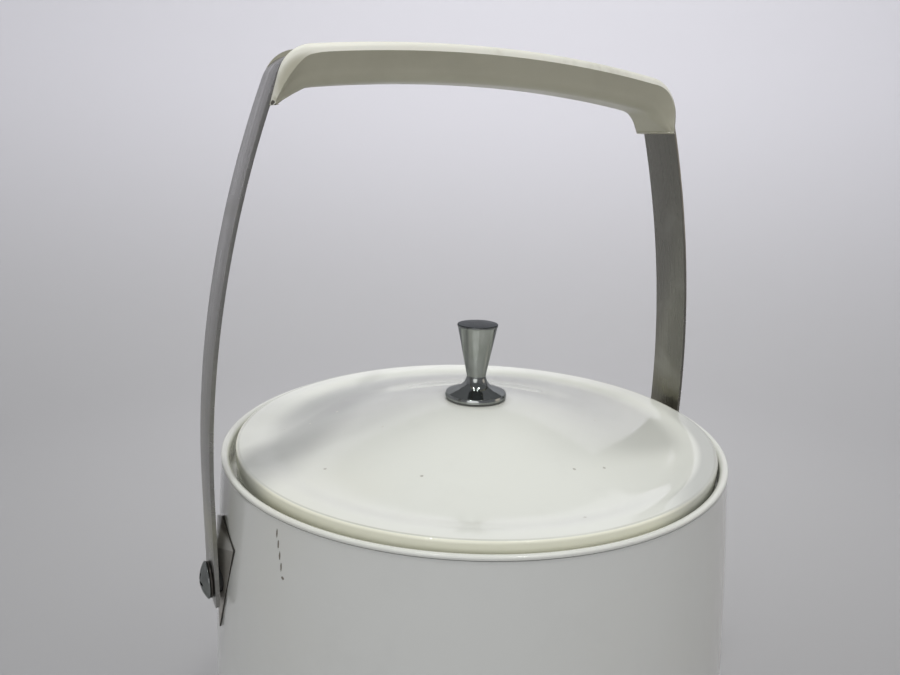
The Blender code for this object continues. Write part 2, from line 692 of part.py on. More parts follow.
# ---------------------------------------------------------------- lid
def lid_height(radius):
    """Top surface of the lid above RIM_Z: a flat land at the edge, a soft valley and a dome."""
    if radius > LID_LAND_RADIUS:
        return LID_CREST
    if radius > LID_VALLEY_RADIUS:
        share = (LID_LAND_RADIUS - radius) / (LID_LAND_RADIUS - LID_VALLEY_RADIUS)
        return LID_CREST - (LID_CREST - LID_VALLEY) * (1 - cos(pi * share)) / 2
    rise = (1 + cos(pi * radius / LID_VALLEY_RADIUS)) / 2
    return LID_VALLEY + (LID_DOME - LID_VALLEY) * rise ** LID_DOME_POWER


def lid_line(offset, outer_radius):
    """Points on the lid's top line, lowered by offset, from the middle outwards."""
    radii = [LID_VALLEY_RADIUS * i / LID_RINGS for i in range(LID_RINGS + 1)]
    radii += [(LID_VALLEY_RADIUS + LID_LAND_RADIUS) / 2, LID_LAND_RADIUS]
    radii = [radius for radius in radii if radius < outer_radius] + [outer_radius]
    return [(radius, RIM_Z + lid_height(radius) - offset) for radius in radii]


def build_lid(lift):
    skirt_z = RIM_Z - LID_SKIRT_DROP
    inner_radius = LID_RADIUS - LID_WALL
    edge_centre = (LID_RADIUS - LID_EDGE, RIM_Z + LID_CREST - LID_EDGE)
    top = lid_line(0.0, LID_RADIUS - LID_EDGE)
    edge = arc(edge_centre, LID_EDGE, 90, 0, 3)[1:]
    skirt = [(LID_RADIUS, skirt_z), (inner_radius, skirt_z)]
    under = list(reversed(lid_line(LID_WALL, inner_radius)))
    cover = lathe("lid_cover", top + edge + skirt + under, WHITE, BIG_STEPS, parent=lift)
    low = RIM_Z - PLUG_DROP - OVERCUT
    high = RIM_Z + LID_DOME + OVERCUT
    bore = add_cutter("cover_bore", cylinder_mesh("cover_bore", KNOB_SCREW_RADIUS + GAP, low, high))
    bore.parent = lift
    cut(cover, bore)
    build_lid_liner(lift, bore)
    build_lid_foam(lift, bore)


def build_lid_liner(lift, bore):
    """Lower moulding of the lid: a flange on the lid seat and a plug that locates it in the bucket."""
    flange_low = RIM_Z - LEDGE_DROP + GAP
    flange_high = RIM_Z - LID_SKIRT_DROP - GAP
    floor = RIM_Z - PLUG_DROP
    outer_bend = (PLUG_RADIUS - PLUG_BEND, floor + PLUG_BEND)
    outside = [(PLUG_RADIUS - PLUG_WALL, flange_high), (LID_RADIUS, flange_high), (LID_RADIUS, flange_low)]
    outside += [(PLUG_RADIUS, flange_low)]
    outside += arc(outer_bend, PLUG_BEND, 0, -90, 4)
    outside.append((0.0, floor))
    inside = [(0.0, floor + PLUG_WALL)]
    inside += arc(outer_bend, PLUG_BEND - PLUG_WALL, -90, 0, 3)
    liner = lathe("lid_liner", outside + inside, WHITE, BIG_STEPS, closed=True, parent=lift)
    cut(liner, bore)


def build_lid_foam(lift, bore):
    """Insulating disc sealed between the lid's two mouldings."""
    radius = PLUG_RADIUS - PLUG_WALL - GAP
    floor = RIM_Z - PLUG_DROP + PLUG_WALL + GAP
    top = lid_line(LID_WALL + GAP, radius)
    bend_centre = (radius - PLUG_BEND + PLUG_WALL, floor + PLUG_BEND - PLUG_WALL)
    side = arc(bend_centre, PLUG_BEND - PLUG_WALL, 0, -90, 3)
    foam = lathe("lid_foam", top + side + [(0.0, floor)], FOAM, BIG_STEPS, parent=lift)
    cut(foam, bore)


def build_knob(lift):
    """Trumpet knob: a flat top, a straight tapering neck, a hollow fillet and a conical flange."""
    top = RIM_Z + KNOB_TOP
    under = RIM_Z + KNOB_FLANGE - KNOB_FLANGE_EDGE
    seat = RIM_Z + LID_DOME + GAP
    line = [(0.0, top), (KNOB_TOP_RADIUS - KNOB_EDGE, top), (KNOB_TOP_RADIUS, top - KNOB_EDGE)]
    line += [(KNOB_TOP_RADIUS, top - 2 * KNOB_EDGE), (KNOB_NECK_RADIUS, RIM_Z + KNOB_NECK)]
    fillet_centre = (KNOB_WAIST_RADIUS + KNOB_FILLET, RIM_Z + KNOB_WAIST)
    line += arc(fillet_centre, KNOB_FILLET, 180, 180 + KNOB_FILLET_TURN, 8)
    line.append((KNOB_FLANGE_RADIUS - KNOB_FLANGE_BEVEL, RIM_Z + KNOB_FLANGE + KNOB_FLANGE_CROWN))
    line += [(KNOB_FLANGE_RADIUS, RIM_Z + KNOB_FLANGE), (KNOB_FLANGE_RADIUS, under)]
    line += [(KNOB_FLANGE_RADIUS - KNOB_FLANGE_EDGE, under), (KNOB_SEAT_RADIUS, seat), (0.0, seat)]
    knob = lathe("lid_knob", line, CHROME, KNOB_STEPS, parent=lift)
    bore_mesh = cylinder_mesh("knob_bore", KNOB_BORE_RADIUS, seat - OVERCUT, seat + KNOB_BORE_DEPTH)
    bore = add_cutter("knob_bore", bore_mesh)
    bore.parent = lift
    cut(knob, bore)


def build_knob_fixing(lift):
    """Screw from inside the lid up into the knob, with a washer under its head."""
    washer_top = RIM_Z - PLUG_DROP - GAP
    washer_low = washer_top - KNOB_WASHER
    head_top = washer_low - GAP
    head_low = head_top - KNOB_SCREW_HEAD
    tip = RIM_Z + LID_DOME + KNOB_BORE_DEPTH - KNOB_SCREW_PLAY
    line = [(0.0, tip), (KNOB_SCREW_RADIUS, tip), (KNOB_SCREW_RADIUS, head_top)]
    line += [(KNOB_SCREW_HEAD_RADIUS, head_top), (KNOB_SCREW_HEAD_RADIUS, head_top - KNOB_SCREW_RIM)]
    line += [(KNOB_SCREW_CROWN_RADIUS, head_low), (0.0, head_low)]
    screw = lathe("knob_screw", line, STEEL, FIXING_STEPS, parent=lift)
    slot_size = (3 * KNOB_SCREW_HEAD_RADIUS, KNOB_SLOT_WIDTH, 2 * KNOB_SLOT_DEPTH)
    slot = add_cutter("knob_slot", box_mesh("knob_slot", slot_size))
    slot.location = (0.0, 0.0, head_low)
    slot.parent = lift
    cut(screw, slot)
    disc = cylinder_mesh("knob_washer", KNOB_WASHER_RADIUS, washer_low, washer_top)
    washer = add_object("knob_washer", disc, STEEL, lift)
    hole_low = washer_low - OVERCUT
    hole_mesh = cylinder_mesh("washer_hole", KNOB_SCREW_RADIUS + GAP, hole_low, washer_top + OVERCUT)
    hole = add_cutter("washer_hole", hole_mesh)
    hole.parent = lift
    cut(washer, hole)


# ---------------------------------------------------------------- assembly
def smooth_parts():
    for item in PARTS.objects:
        if item.type == "MESH" and not any(step.type == "SCREW" for step in item.modifiers):
            smooth_mesh(item.data)


def build():
    build_outer_shell()
    build_inner_liner()
    build_insulation()
    build_base()
    wall_cutter = build_wall_cutter()
    for side in (-1, 1):
        build_escutcheon(side, wall_cutter)
        build_pivot(side)
    pivot = add_empty("handle_pivot", (0.0, 0.0, PIVOT_Z), (HANDLE_LEAN, 0.0, 0.0))
    build_strap(pivot)
    build_grip(pivot)
    lift = add_empty("lid_lift", LID_SHIFT)
    build_lid(lift)
    build_knob(lift)
    build_knob_fixing(lift)
    smooth_parts()


clear_scene()
PARTS = new_collection("ice_bucket")
CUTTERS = new_collection("cutters")
WHITE = principled("gloss_white", (0.72, 0.73, 0.69), 0.16)
IVORY = principled("grip_ivory", (0.62, 0.60, 0.50), 0.32)
STEEL = principled("brushed_steel", (0.55, 0.54, 0.51), 0.32, 1.0)
DARK_STEEL = principled("dark_steel", (0.16, 0.15, 0.14), 0.45, 1.0)
CHROME = principled("chrome", (0.80, 0.80, 0.78), 0.08, 1.0)
NYLON = principled("black_nylon", (0.03, 0.03, 0.03), 0.5)
BASE_GREY = principled("base_grey", (0.30, 0.30, 0.29), 0.5)
RUBBER = principled("foot_rubber", (0.04, 0.04, 0.04), 0.8)
FOAM = principled("white_foam", (0.85, 0.85, 0.80), 0.95)
build()
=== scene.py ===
"""Looks of the insulated ice bucket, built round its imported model.

Metres, +Z up. The front of the bucket is its -Y side, and the handle turns about an axis along X.
Fine meshes stand for the outer solids of the model, and every surface gets a procedural material.
"""

import json
from math import acos, asin, atan2, cos, exp, hypot, pi, radians, sin, sqrt, tan
from random import Random

import bmesh
import bpy
from mathutils import Matrix, Vector


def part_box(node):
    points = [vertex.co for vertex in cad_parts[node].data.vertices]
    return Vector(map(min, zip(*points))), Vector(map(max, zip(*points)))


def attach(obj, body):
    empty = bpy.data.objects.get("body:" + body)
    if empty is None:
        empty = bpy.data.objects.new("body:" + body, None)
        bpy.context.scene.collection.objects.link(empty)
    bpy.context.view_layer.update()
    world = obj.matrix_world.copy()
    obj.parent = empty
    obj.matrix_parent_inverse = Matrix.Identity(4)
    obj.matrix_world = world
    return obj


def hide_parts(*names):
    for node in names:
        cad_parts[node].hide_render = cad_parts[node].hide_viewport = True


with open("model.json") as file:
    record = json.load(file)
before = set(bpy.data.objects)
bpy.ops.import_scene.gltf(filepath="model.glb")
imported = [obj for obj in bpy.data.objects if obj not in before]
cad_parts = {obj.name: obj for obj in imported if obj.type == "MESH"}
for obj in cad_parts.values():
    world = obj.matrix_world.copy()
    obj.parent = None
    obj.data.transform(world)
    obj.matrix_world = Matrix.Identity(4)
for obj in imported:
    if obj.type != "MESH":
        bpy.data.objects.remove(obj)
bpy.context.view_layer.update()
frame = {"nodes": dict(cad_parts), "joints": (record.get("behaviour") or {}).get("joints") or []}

# ---------------------------------------------------------------- sizes read from the model
LINER_LOW, LINER_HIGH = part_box("inner_liner")
SHELL_LOW, SHELL_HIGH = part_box("outer_shell")
LID_LOW, LID_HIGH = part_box("lid_cover")
PLUG_LOW, PLUG_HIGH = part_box("lid_liner")
KNOB_LOW, KNOB_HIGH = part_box("lid_knob")
HEAD_LOW, HEAD_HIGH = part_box("pivot_screw_right")
WASHER_LOW, WASHER_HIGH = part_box("pivot_washer_right")
SPACER_LOW, SPACER_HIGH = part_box("pivot_spacer_right")
PLATE_LOW, PLATE_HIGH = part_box("escutcheon_right")
BASE_LOW, BASE_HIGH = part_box("base_plate")
STRAP_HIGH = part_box("handle_strap")[1]
FOOT_LOW, FOOT_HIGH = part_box("rubber_foot_1")
PIVOT_Z = frame["joints"][0]["pos_m"][2]
RIM_RADIUS = LINER_HIGH.x
RIM_Z = SHELL_HIGH.z
GAP = 0.0003

# ---------------------------------------------------------------- outer body
BELLY_RADIUS = SHELL_HIGH.x
BELLY_DROP = 0.1120
WALL_TOP_RADIUS = 0.1013
WALL_FLARE = 0.0016                  # the wall's top runs out to the lip over this height
WALL_FOOT_RADIUS = 0.0975
UPPER_SWELL = 1.6
LOWER_SWELL = 2.4
SHELL_WALL = 0.0018
SHELL_STEP_DROP = 0.0085             # here the wall's inside steps back to pass the liner's collar
SHELL_STEP = 0.0010
FOOT_BEND = 0.0060
HEM_INNER_RADIUS = 0.0820
HEM_Z = SHELL_LOW.z

LIP_TOP = LINER_HIGH.z
LIP_INNER_RADIUS = 0.0985
LIP_INNER_BEND = 0.0020
LIP_OUTER_BEND = 0.0008
COLLAR_WALL = 0.0012
LINER_WALL = 0.0020
LEDGE_DROP = 0.0070
LEDGE_STEP = 0.0002                  # flat of the ledge that runs in under the lip
LEDGE_BEND = 0.0015
LINER_TOP_RADIUS = 0.0929
LINER_FOOT_RADIUS = 0.0880
LINER_BEND = 0.0120
LINER_FLOOR_Z = LINER_LOW.z + LINER_WALL

# ---------------------------------------------------------------- lid and knob
LID_CENTRE = Vector(((LID_LOW.x + LID_HIGH.x) / 2, (LID_LOW.y + LID_HIGH.y) / 2, 0.0))
LID_RADIUS = (LID_HIGH.x - LID_LOW.x) / 2
LID_CREST = 0.0034
LID_EDGE = 0.0010
LID_LAND_RADIUS = 0.0920
LID_VALLEY_RADIUS = 0.0810
LID_VALLEY = 0.0020
LID_DOME = LID_HIGH.z - RIM_Z
LID_DOME_POWER = 0.9
LID_WALL = 0.0020
LID_BORE_RADIUS = 0.0023
SKIRT_Z = LID_LOW.z
PLUG_RADIUS = 0.0912
PLUG_WALL = 0.0015
PLUG_BEND = 0.0040
PLUG_GROOVES = (0.0700, 0.0450)

KNOB_TOP = KNOB_HIGH.z
KNOB_TOP_RADIUS = 0.0084
KNOB_EDGE = 0.0007
KNOB_NECK_RADIUS = 0.0081
KNOB_NECK_DROP = 0.0012              # from the top to the neck's upper end
KNOB_WAIST_RADIUS = 0.0040
KNOB_WAIST_DROP = 0.0215
KNOB_FILLET = 0.0060
KNOB_FILLET_TURN = 71
KNOB_FLANGE_RADIUS = (KNOB_HIGH.x - KNOB_LOW.x) / 2
KNOB_FLANGE_DROP = 0.0298
KNOB_FLANGE_CROWN = 0.0010           # from the flange's widest line up to where its cone starts
KNOB_FLANGE_BEVEL = 0.0003
KNOB_FLANGE_EDGE = 0.0010
KNOB_SEAT_RADIUS = 0.0060
KNOB_BORE_RADIUS = 0.0024
KNOB_BORE_DEPTH = 0.0150

# ---------------------------------------------------------------- handle
HANDLE_LEAN = radians(1.8)
STRAP_WIDTH = 0.0179
STRAP_THICKNESS = 0.00143
STRAP_EDGE = 0.00022                 # bevel on the strap's long edges
STRAP_END_DROP = 0.0080
STRAP_CORNER = 0.0030
LEG_OUTER_X = STRAP_HIGH.x
PIVOT_DROP = 0.0397                  # the lip's underside is this far above the pivots
LEG_ARC_DROP = 0.0045
LEG_ARC_RADIUS = 0.3920
ARCH_RADIUS = 0.5270
ARCH_TOP = 0.1489
STRAP_BEND = 0.0115
PIVOT_HOLE_RADIUS = 0.0034
DRILL_LOW = 0.0900                   # drills about the pivot axis, from the centre plane
DRILL_HIGH = 0.1150

GRIP_SLOT_HALF = STRAP_WIDTH / 2 + 0.0002
GRIP_HALF_WIDTH = 0.0116             # at the middle of the grip
GRIP_END_HALF_WIDTH = 0.0112
GRIP_LIP_HEIGHT = 0.0021
GRIP_DEPTH = 0.0125
GRIP_SHOULDER = 0.0028               # height of the sloping shoulder along each lip
GRIP_SHOULDER_INSET = 0.0021
GRIP_SHOULDER_TURN = 48              # how far the shoulder turns down before its crease, in degrees
GRIP_DRAFT = 0.0024                  # how much each side leans in towards the underside
GRIP_UNDER_BEND = 0.0042
GRIP_FAIRING_X = 0.0715
GRIP_RIGHT_END = {
    "x": 0.0851,                     # its tip: out from the middle, and above the lip's underside
    "z": 0.1250,
    "slope": 2.5,                    # lean of its outer face, in degrees
    "corner": 0.0165,
    "toe": 0.0028,                   # thickness at the tip
    "flare": -0.25,                  # how much the shoulder widens round the corner
}
GRIP_LEFT_END = {"x": 0.0849, "z": 0.1270, "slope": 16.5, "corner": 0.0130, "toe": 0.0016, "flare": 0.80}
GRIP_TIP_BEAD = 0.0008
GRIP_FLARE_X = 0.0795                # where the shoulder widens or narrows round each corner
GRIP_FLARE_SPREAD = 0.0060
CHANNEL_DEPTH = 0.0120

# ---------------------------------------------------------------- pivot hardware and base
SCREW_HEAD_RADIUS = (HEAD_HIGH.y - HEAD_LOW.y) / 2
SCREW_SHANK_RADIUS = 0.0030
RECESS_LENGTH = 0.0064
RECESS_WIDTH = 0.0011
RECESS_DEPTH = 0.0012
PLATE_HALF_WIDTH = (PLATE_HIGH.y - PLATE_LOW.y) / 2
PLATE_TOP_Z = PLATE_HIGH.z
PLATE_BOTTOM_Z = PLATE_LOW.z
PLATE_SIDE_DROP = 0.0067             # below the plate's top corner
PLATE_PEAK_DROP = 0.0118
PLATE_EDGE = 0.0006
PLATE_PEAK = 0.0026
PLATE_ROOT = 0.0060
PLATE_BEVEL = 0.00012
FOOT_CIRCLE = 0.0660
FOOT_RADIUS = (FOOT_HIGH.x - FOOT_LOW.x) / 2
FOOT_STEM_RADIUS = 0.0026
FOOT_COUNT = 4
BASE_SCREW_CIRCLE = 0.0870
BASE_SCREW_COUNT = 3
BASE_SCREW_HOLE = 0.0019
BASE_EDGE = 0.0005
BASE_GROOVES = (0.0760, 0.0460, 0.0200)
OVERCUT = 0.0050                     # drills run this far beyond the piece

# ---------------------------------------------------------------- marks, in metres on the object
STAIN_BROWN = (0.110, 0.080, 0.040)
DRIP_TURN = -67                      # a run of stains below the rim, in degrees from the front
DRIP_TURN_STEP = 0.5
DRIP_DROP = 0.005                    # first stain below the rim, and the step to the next
DRIP_STEP = 0.0035
DRIP_COUNT = 5
DRIP_SIZE = 0.00045
DRIP_FLATTENING = 0.25               # the upper stains are thin runs, the last one is a round spot
SPOT_SIZE = 0.0007
LID_SPOTS = 6
LID_SPOT_RADII = (0.050, 0.085)      # the spots lie in this ring of the lid
GRIP_SPOTS = 6
GRIP_SPOT_REACH = 0.070              # along the grip, either way from its middle
GRIP_SPOT_DROPS = (0.002, 0.009)     # below the grip's top line
LEAN_SHIFT = -(STRAP_HIGH.z - PIVOT_Z) * sin(HANDLE_LEAN)

# ---------------------------------------------------------------- camera, angles in degrees
CAMERA_PLACE = Vector((-0.14376, -0.24759, 0.29668))
CAMERA_TURN = 28.071
CAMERA_PITCH = 13.297
CAMERA_ROLL = 1.267
CAMERA_LENS = 28.661

SOFT_WHITE = (1.0, 0.995, 0.97)
BIG_STEPS = 192
SMALL_STEPS = 64


# ---------------------------------------------------------------- shaping helpers
def arc(centre, radius, start, end, steps):
    """Points on a circle from the start angle to the end angle, in degrees, counted from +X."""
    angles = [radians(start + (end - start) * i / steps) for i in range(steps + 1)]
    return [(centre[0] + radius * cos(a), centre[1] + radius * sin(a)) for a in angles]


def rounded(corners, closed=False, steps=4):
    """A profile of (radius, height, rounding) whose corners are rounded by short curves."""
    points = []
    count = len(corners)
    for index, (x, z, size) in enumerate(corners):
        here = Vector((x, z))
        at_end = index in (0, count - 1) and not closed
        if size == 0 or at_end:
            points.append(here)
            continue
        to_before = Vector(corners[index - 1][:2]) - here
        to_after = Vector(corners[(index + 1) % count][:2]) - here
        reach = size / tan(to_before.angle(to_after) / 2)
        reach = min(reach, 0.48 * to_before.length, 0.48 * to_after.length)
        start = here + to_before.normalized() * reach
        end = here + to_after.normalized() * reach
        for step in range(steps + 1):
            t = step / steps
            points.append(start * (1 - t) ** 2 + here * 2 * t * (1 - t) + end * t ** 2)
    return [(point.x, point.y) for point in points]


def plain(points):
    """Profile points that keep their corners."""
    return [(x, z, 0.0) for x, z in points]


def smooth(mesh, sharp_angle=32):
    mesh.shade_smooth()
    mesh.set_sharp_from_angle(angle=radians(sharp_angle))
    return mesh


def turned_mesh(name, profile, closed=False, steps=BIG_STEPS, centre=(0.0, 0.0, 0.0)):
    """Spins a profile of (radius, height) about the upright axis through the centre."""
    shape = bmesh.new()
    verts = [shape.verts.new((r, 0.0, z)) for r, z in profile]
    pairs = list(zip(verts, verts[1:]))
    if closed:
        pairs.append((verts[-1], verts[0]))
    edges = [shape.edges.new(pair) for pair in pairs]
    bmesh.ops.spin(shape, geom=verts + edges, cent=(0, 0, 0), axis=(0, 0, 1), angle=2 * pi,
                   steps=steps, use_merge=True)
    bmesh.ops.remove_doubles(shape, verts=shape.verts, dist=0.000001)
    bmesh.ops.recalc_face_normals(shape, faces=shape.faces)
    bmesh.ops.translate(shape, verts=shape.verts, vec=centre)
    mesh = bpy.data.meshes.new(name)
    shape.to_mesh(mesh)
    shape.free()
    return smooth(mesh)


def along_x(side):
    """Turns what was made about Z so that its +Z points out along X at the pivot on that side."""
    return Matrix.Translation((0.0, 0.0, PIVOT_Z)) @ Matrix.Rotation(side * pi / 2, 4, "Y")


def box_mesh(name, size):
    shape = bmesh.new()
    bmesh.ops.create_cube(shape, size=1.0)
    bmesh.ops.scale(shape, verts=shape.verts, vec=size)
    mesh = bpy.data.meshes.new(name)
    shape.to_mesh(mesh)
    shape.free()
    return mesh


def rod_mesh(name, radius, low, high):
    """A cylinder about Z from low to high."""
    shape = bmesh.new()
    bmesh.ops.create_cone(shape, cap_ends=True, segments=SMALL_STEPS, radius1=radius, radius2=radius,
                          depth=high - low)
    bmesh.ops.translate(shape, verts=shape.verts, vec=(0.0, 0.0, (low + high) / 2))
    mesh = bpy.data.meshes.new(name)
    shape.to_mesh(mesh)
    shape.free()
    return mesh


def evaluated(item):
    """Replaces an object's mesh by what its modifiers make of it."""
    bpy.context.view_layer.update()
    graph = bpy.context.evaluated_depsgraph_get()
    mesh = bpy.data.meshes.new_from_object(item.evaluated_get(graph))
    item.modifiers.clear()
    item.data = mesh
    return mesh


def loose_object(name, mesh):
    item = bpy.data.objects.new(name, mesh)
    bpy.context.scene.collection.objects.link(item)
    return item


def cut_mesh(mesh, cutters):
    """The mesh less each cutter, both in world space."""
    item = loose_object("work", mesh)
    helpers = []
    for cutter in cutters:
        helper = loose_object("cutter", cutter)
        step = item.modifiers.new("Cut", "BOOLEAN")
        step.operation = "DIFFERENCE"
        step.solver = "EXACT"
        step.object = helper
        helpers.append(helper)
    result = evaluated(item)
    for helper in helpers + [item]:
        bpy.data.objects.remove(helper, do_unlink=True)
    return result


def bevelled(mesh, width, segments=2, angle=40):
    item = loose_object("work", mesh)
    step = item.modifiers.new("Edges", "BEVEL")
    step.width = width
    step.segments = segments
    step.limit_method = "ANGLE"
    step.angle_limit = radians(angle)
    result = evaluated(item)
    bpy.data.objects.remove(item, do_unlink=True)
    return result


def piece(name, mesh, material, body, slot, *nodes):
    """A finished piece that rides on a body and stands for CAD nodes."""
    mesh.materials.clear()
    mesh.materials.append(material)
    item = loose_object(name, mesh)
    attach(item, body)
    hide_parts(*nodes)
    return item


def side_name(side):
    return "right" if side > 0 else "left"


# ---------------------------------------------------------------- materials
class Surface:
    """A Principled material with short ways to add procedural detail, in the piece's own coordinates."""

    def __init__(self, name, color, roughness, metallic=0.0):
        self.material = bpy.data.materials.new(name)
        self.material.use_nodes = True
        self.tree = self.material.node_tree
        self.shader = self.tree.nodes["Principled BSDF"]
        self.color = (*color, 1.0)
        self.rough = roughness
        self.height_links = []
        self.shader.inputs["Metallic"].default_value = metallic
        self.coords = self.tree.nodes.new("ShaderNodeTexCoord").outputs["Object"]
        parts = self.tree.nodes.new("ShaderNodeSeparateXYZ")
        self.tree.links.new(self.coords, parts.inputs[0])
        self.x, self.y, self.z = parts.outputs
        normal = self.tree.nodes.new("ShaderNodeSeparateXYZ")
        self.tree.links.new(self.coords.node.outputs["Normal"], normal.inputs[0])
        self.facing_out, self.facing_up = normal.outputs[0], normal.outputs[2]

    def product(self, first, *others):
        for other in others:
            first = self.math("MULTIPLY", first, other)
        return first

    def set(self, socket, value):
        """Puts a value or a link on a socket."""
        if isinstance(value, bpy.types.NodeSocket):
            self.tree.links.new(value, socket)
        else:
            socket.default_value = value

    def math(self, operation, a, b=0.0, clamp=False):
        node = self.tree.nodes.new("ShaderNodeMath")
        node.operation = operation
        node.use_clamp = clamp
        self.set(node.inputs[0], a)
        self.set(node.inputs[1], b)
        return node.outputs[0]

    def remap(self, value, low, high, to_low=0.0, to_high=1.0):
        node = self.tree.nodes.new("ShaderNodeMapRange")
        node.interpolation_type = "SMOOTHSTEP"
        self.set(node.inputs["Value"], value)
        node.inputs["From Min"].default_value = low
        node.inputs["From Max"].default_value = high
        node.inputs["To Min"].default_value = to_low
        node.inputs["To Max"].default_value = to_high
        return node.outputs["Result"]

    def place(self, stretch=(1.0, 1.0, 1.0), shift=(0.0, 0.0, 0.0), turn=(0.0, 0.0, 0.0)):
        node = self.tree.nodes.new("ShaderNodeMapping")
        node.inputs["Scale"].default_value = stretch
        node.inputs["Location"].default_value = shift
        node.inputs["Rotation"].default_value = turn
        self.tree.links.new(self.coords, node.inputs["Vector"])
        return node.outputs[0]

    def noise(self, scale, detail=4.0, roughness=0.55, distortion=0.0, **placing):
        node = self.tree.nodes.new("ShaderNodeTexNoise")
        node.inputs["Scale"].default_value = scale
        node.inputs["Detail"].default_value = detail
        node.inputs["Roughness"].default_value = roughness
        node.inputs["Distortion"].default_value = distortion
        self.tree.links.new(self.place(**placing), node.inputs["Vector"])
        return node.outputs["Fac"]

    def cells(self, scale, **placing):
        """Distance to the nearest of scattered points."""
        node = self.tree.nodes.new("ShaderNodeTexVoronoi")
        node.inputs["Scale"].default_value = scale
        self.tree.links.new(self.place(**placing), node.inputs["Vector"])
        return node.outputs["Distance"]

    def radius(self, centre=(0.0, 0.0)):
        """Distance from an upright axis."""
        dx = self.math("SUBTRACT", self.x, centre[0])
        dy = self.math("SUBTRACT", self.y, centre[1])
        total = self.math("ADD", self.math("MULTIPLY", dx, dx), self.math("MULTIPLY", dy, dy))
        return self.math("SQRT", total)

    def near(self, point, size, soft=0.35, stretch=(1.0, 1.0, 1.0)):
        """1 at a point and 0 beyond a size round it, with a ragged edge."""
        node = self.tree.nodes.new("ShaderNodeVectorMath")
        node.operation = "DISTANCE"
        shift = tuple(-p * s for p, s in zip(point, stretch))
        self.tree.links.new(self.place(stretch=stretch, shift=shift), node.inputs[0])
        ragged = self.math("MULTIPLY", self.noise(1.2 / size, detail=3.0), size)
        reach = self.math("ADD", node.outputs["Value"], ragged)
        return self.remap(reach, size * (1.5 - soft), size * 1.5, 1.0, 0.0)

    def paint(self, mask, color, amount=1.0):
        """Lays a colour over what is there, where the mask says."""
        node = self.tree.nodes.new("ShaderNodeMix")
        node.data_type = "RGBA"
        if amount != 1.0:
            mask = self.math("MULTIPLY", mask, amount)
        self.tree.links.new(mask, node.inputs["Factor"])
        self.set(node.inputs["A"], self.color)
        node.inputs["B"].default_value = (*color, 1.0)
        self.color = node.outputs["Result"]

    def roughen(self, mask, amount):
        """Adds to the roughness where the mask says."""
        self.rough = self.math("ADD", self.rough, self.math("MULTIPLY", mask, amount), clamp=True)

    def raise_by(self, mask, height):
        """Adds relief of a height in metres."""
        self.height_links.append(self.math("MULTIPLY", mask, height))

    def done(self):
        self.set(self.shader.inputs["Base Color"], self.color)
        self.set(self.shader.inputs["Roughness"], self.rough)
        if self.height_links:
            total = self.height_links[0]
            for link in self.height_links[1:]:
                total = self.math("ADD", total, link)
            bump = self.tree.nodes.new("ShaderNodeBump")
            bump.inputs["Strength"].default_value = 1.0
            bump.inputs["Distance"].default_value = 1.0
            self.tree.links.new(total, bump.inputs["Height"])
            self.tree.links.new(bump.outputs["Normal"], self.shader.inputs["Normal"])
        return self.material


def add_fine_scratches(surface, amount, scale=9.0):
    """Hair scratches in a few directions that dull the gloss."""
    for index, turn in enumerate((0.35, 1.30, 2.20)):
        hairs = surface.noise(scale, detail=2.0, stretch=(150.0, 2.5, 5.0), turn=(0.2 * index, 0.3, turn))
        mask = surface.remap(hairs, 0.68, 0.72)
        gate = surface.remap(surface.noise(16.0, detail=1.0, shift=(index, 2.0, 0.0)), 0.56, 0.66)
        mask = surface.math("MULTIPLY", mask, gate)
        surface.roughen(mask, amount)
        surface.raise_by(mask, -0.0000012)


def add_specks(surface, color, scale, size, gate_low, seed):
    """Scattered dirt specks, thick in some areas and absent in others."""
    specks = surface.remap(surface.cells(scale, shift=(seed, seed, 0.0)), size * 0.45, size, 1.0, 0.0)
    patches = surface.noise(14.0, detail=2.0, shift=(0.0, seed, seed))
    gate = surface.remap(patches, gate_low, gate_low + 0.08)
    mask = surface.math("MULTIPLY", specks, gate)
    surface.paint(mask, color, 0.75)
    surface.roughen(mask, 0.25)


def white_plastic(name, color, roughness=0.11):
    """Glossy white moulding: faint mottling and ageing, moulding ripple, haze and hair scratches."""
    surface = Surface(name, color, roughness)
    surface.shader.inputs["IOR"].default_value = 1.49
    surface.shader.inputs["Coat Weight"].default_value = 0.25
    surface.shader.inputs["Coat Roughness"].default_value = 0.05
    aged = tuple(c * s for c, s in zip(color, (0.985, 0.965, 0.900)))
    surface.paint(surface.remap(surface.noise(7.0, detail=5.0), 0.35, 0.75), aged, 0.55)
    greyed = tuple(c * 0.94 for c in color)
    surface.paint(surface.remap(surface.noise(38.0, detail=6.0, roughness=0.7), 0.50, 0.80), greyed, 0.5)
    surface.roughen(surface.remap(surface.noise(11.0, detail=5.0, roughness=0.65), 0.42, 0.72), 0.09)
    surface.raise_by(surface.noise(900.0, detail=2.0), 0.0000035)
    surface.raise_by(surface.noise(60.0, detail=2.0), 0.000012)
    add_fine_scratches(surface, 0.06)
    return surface


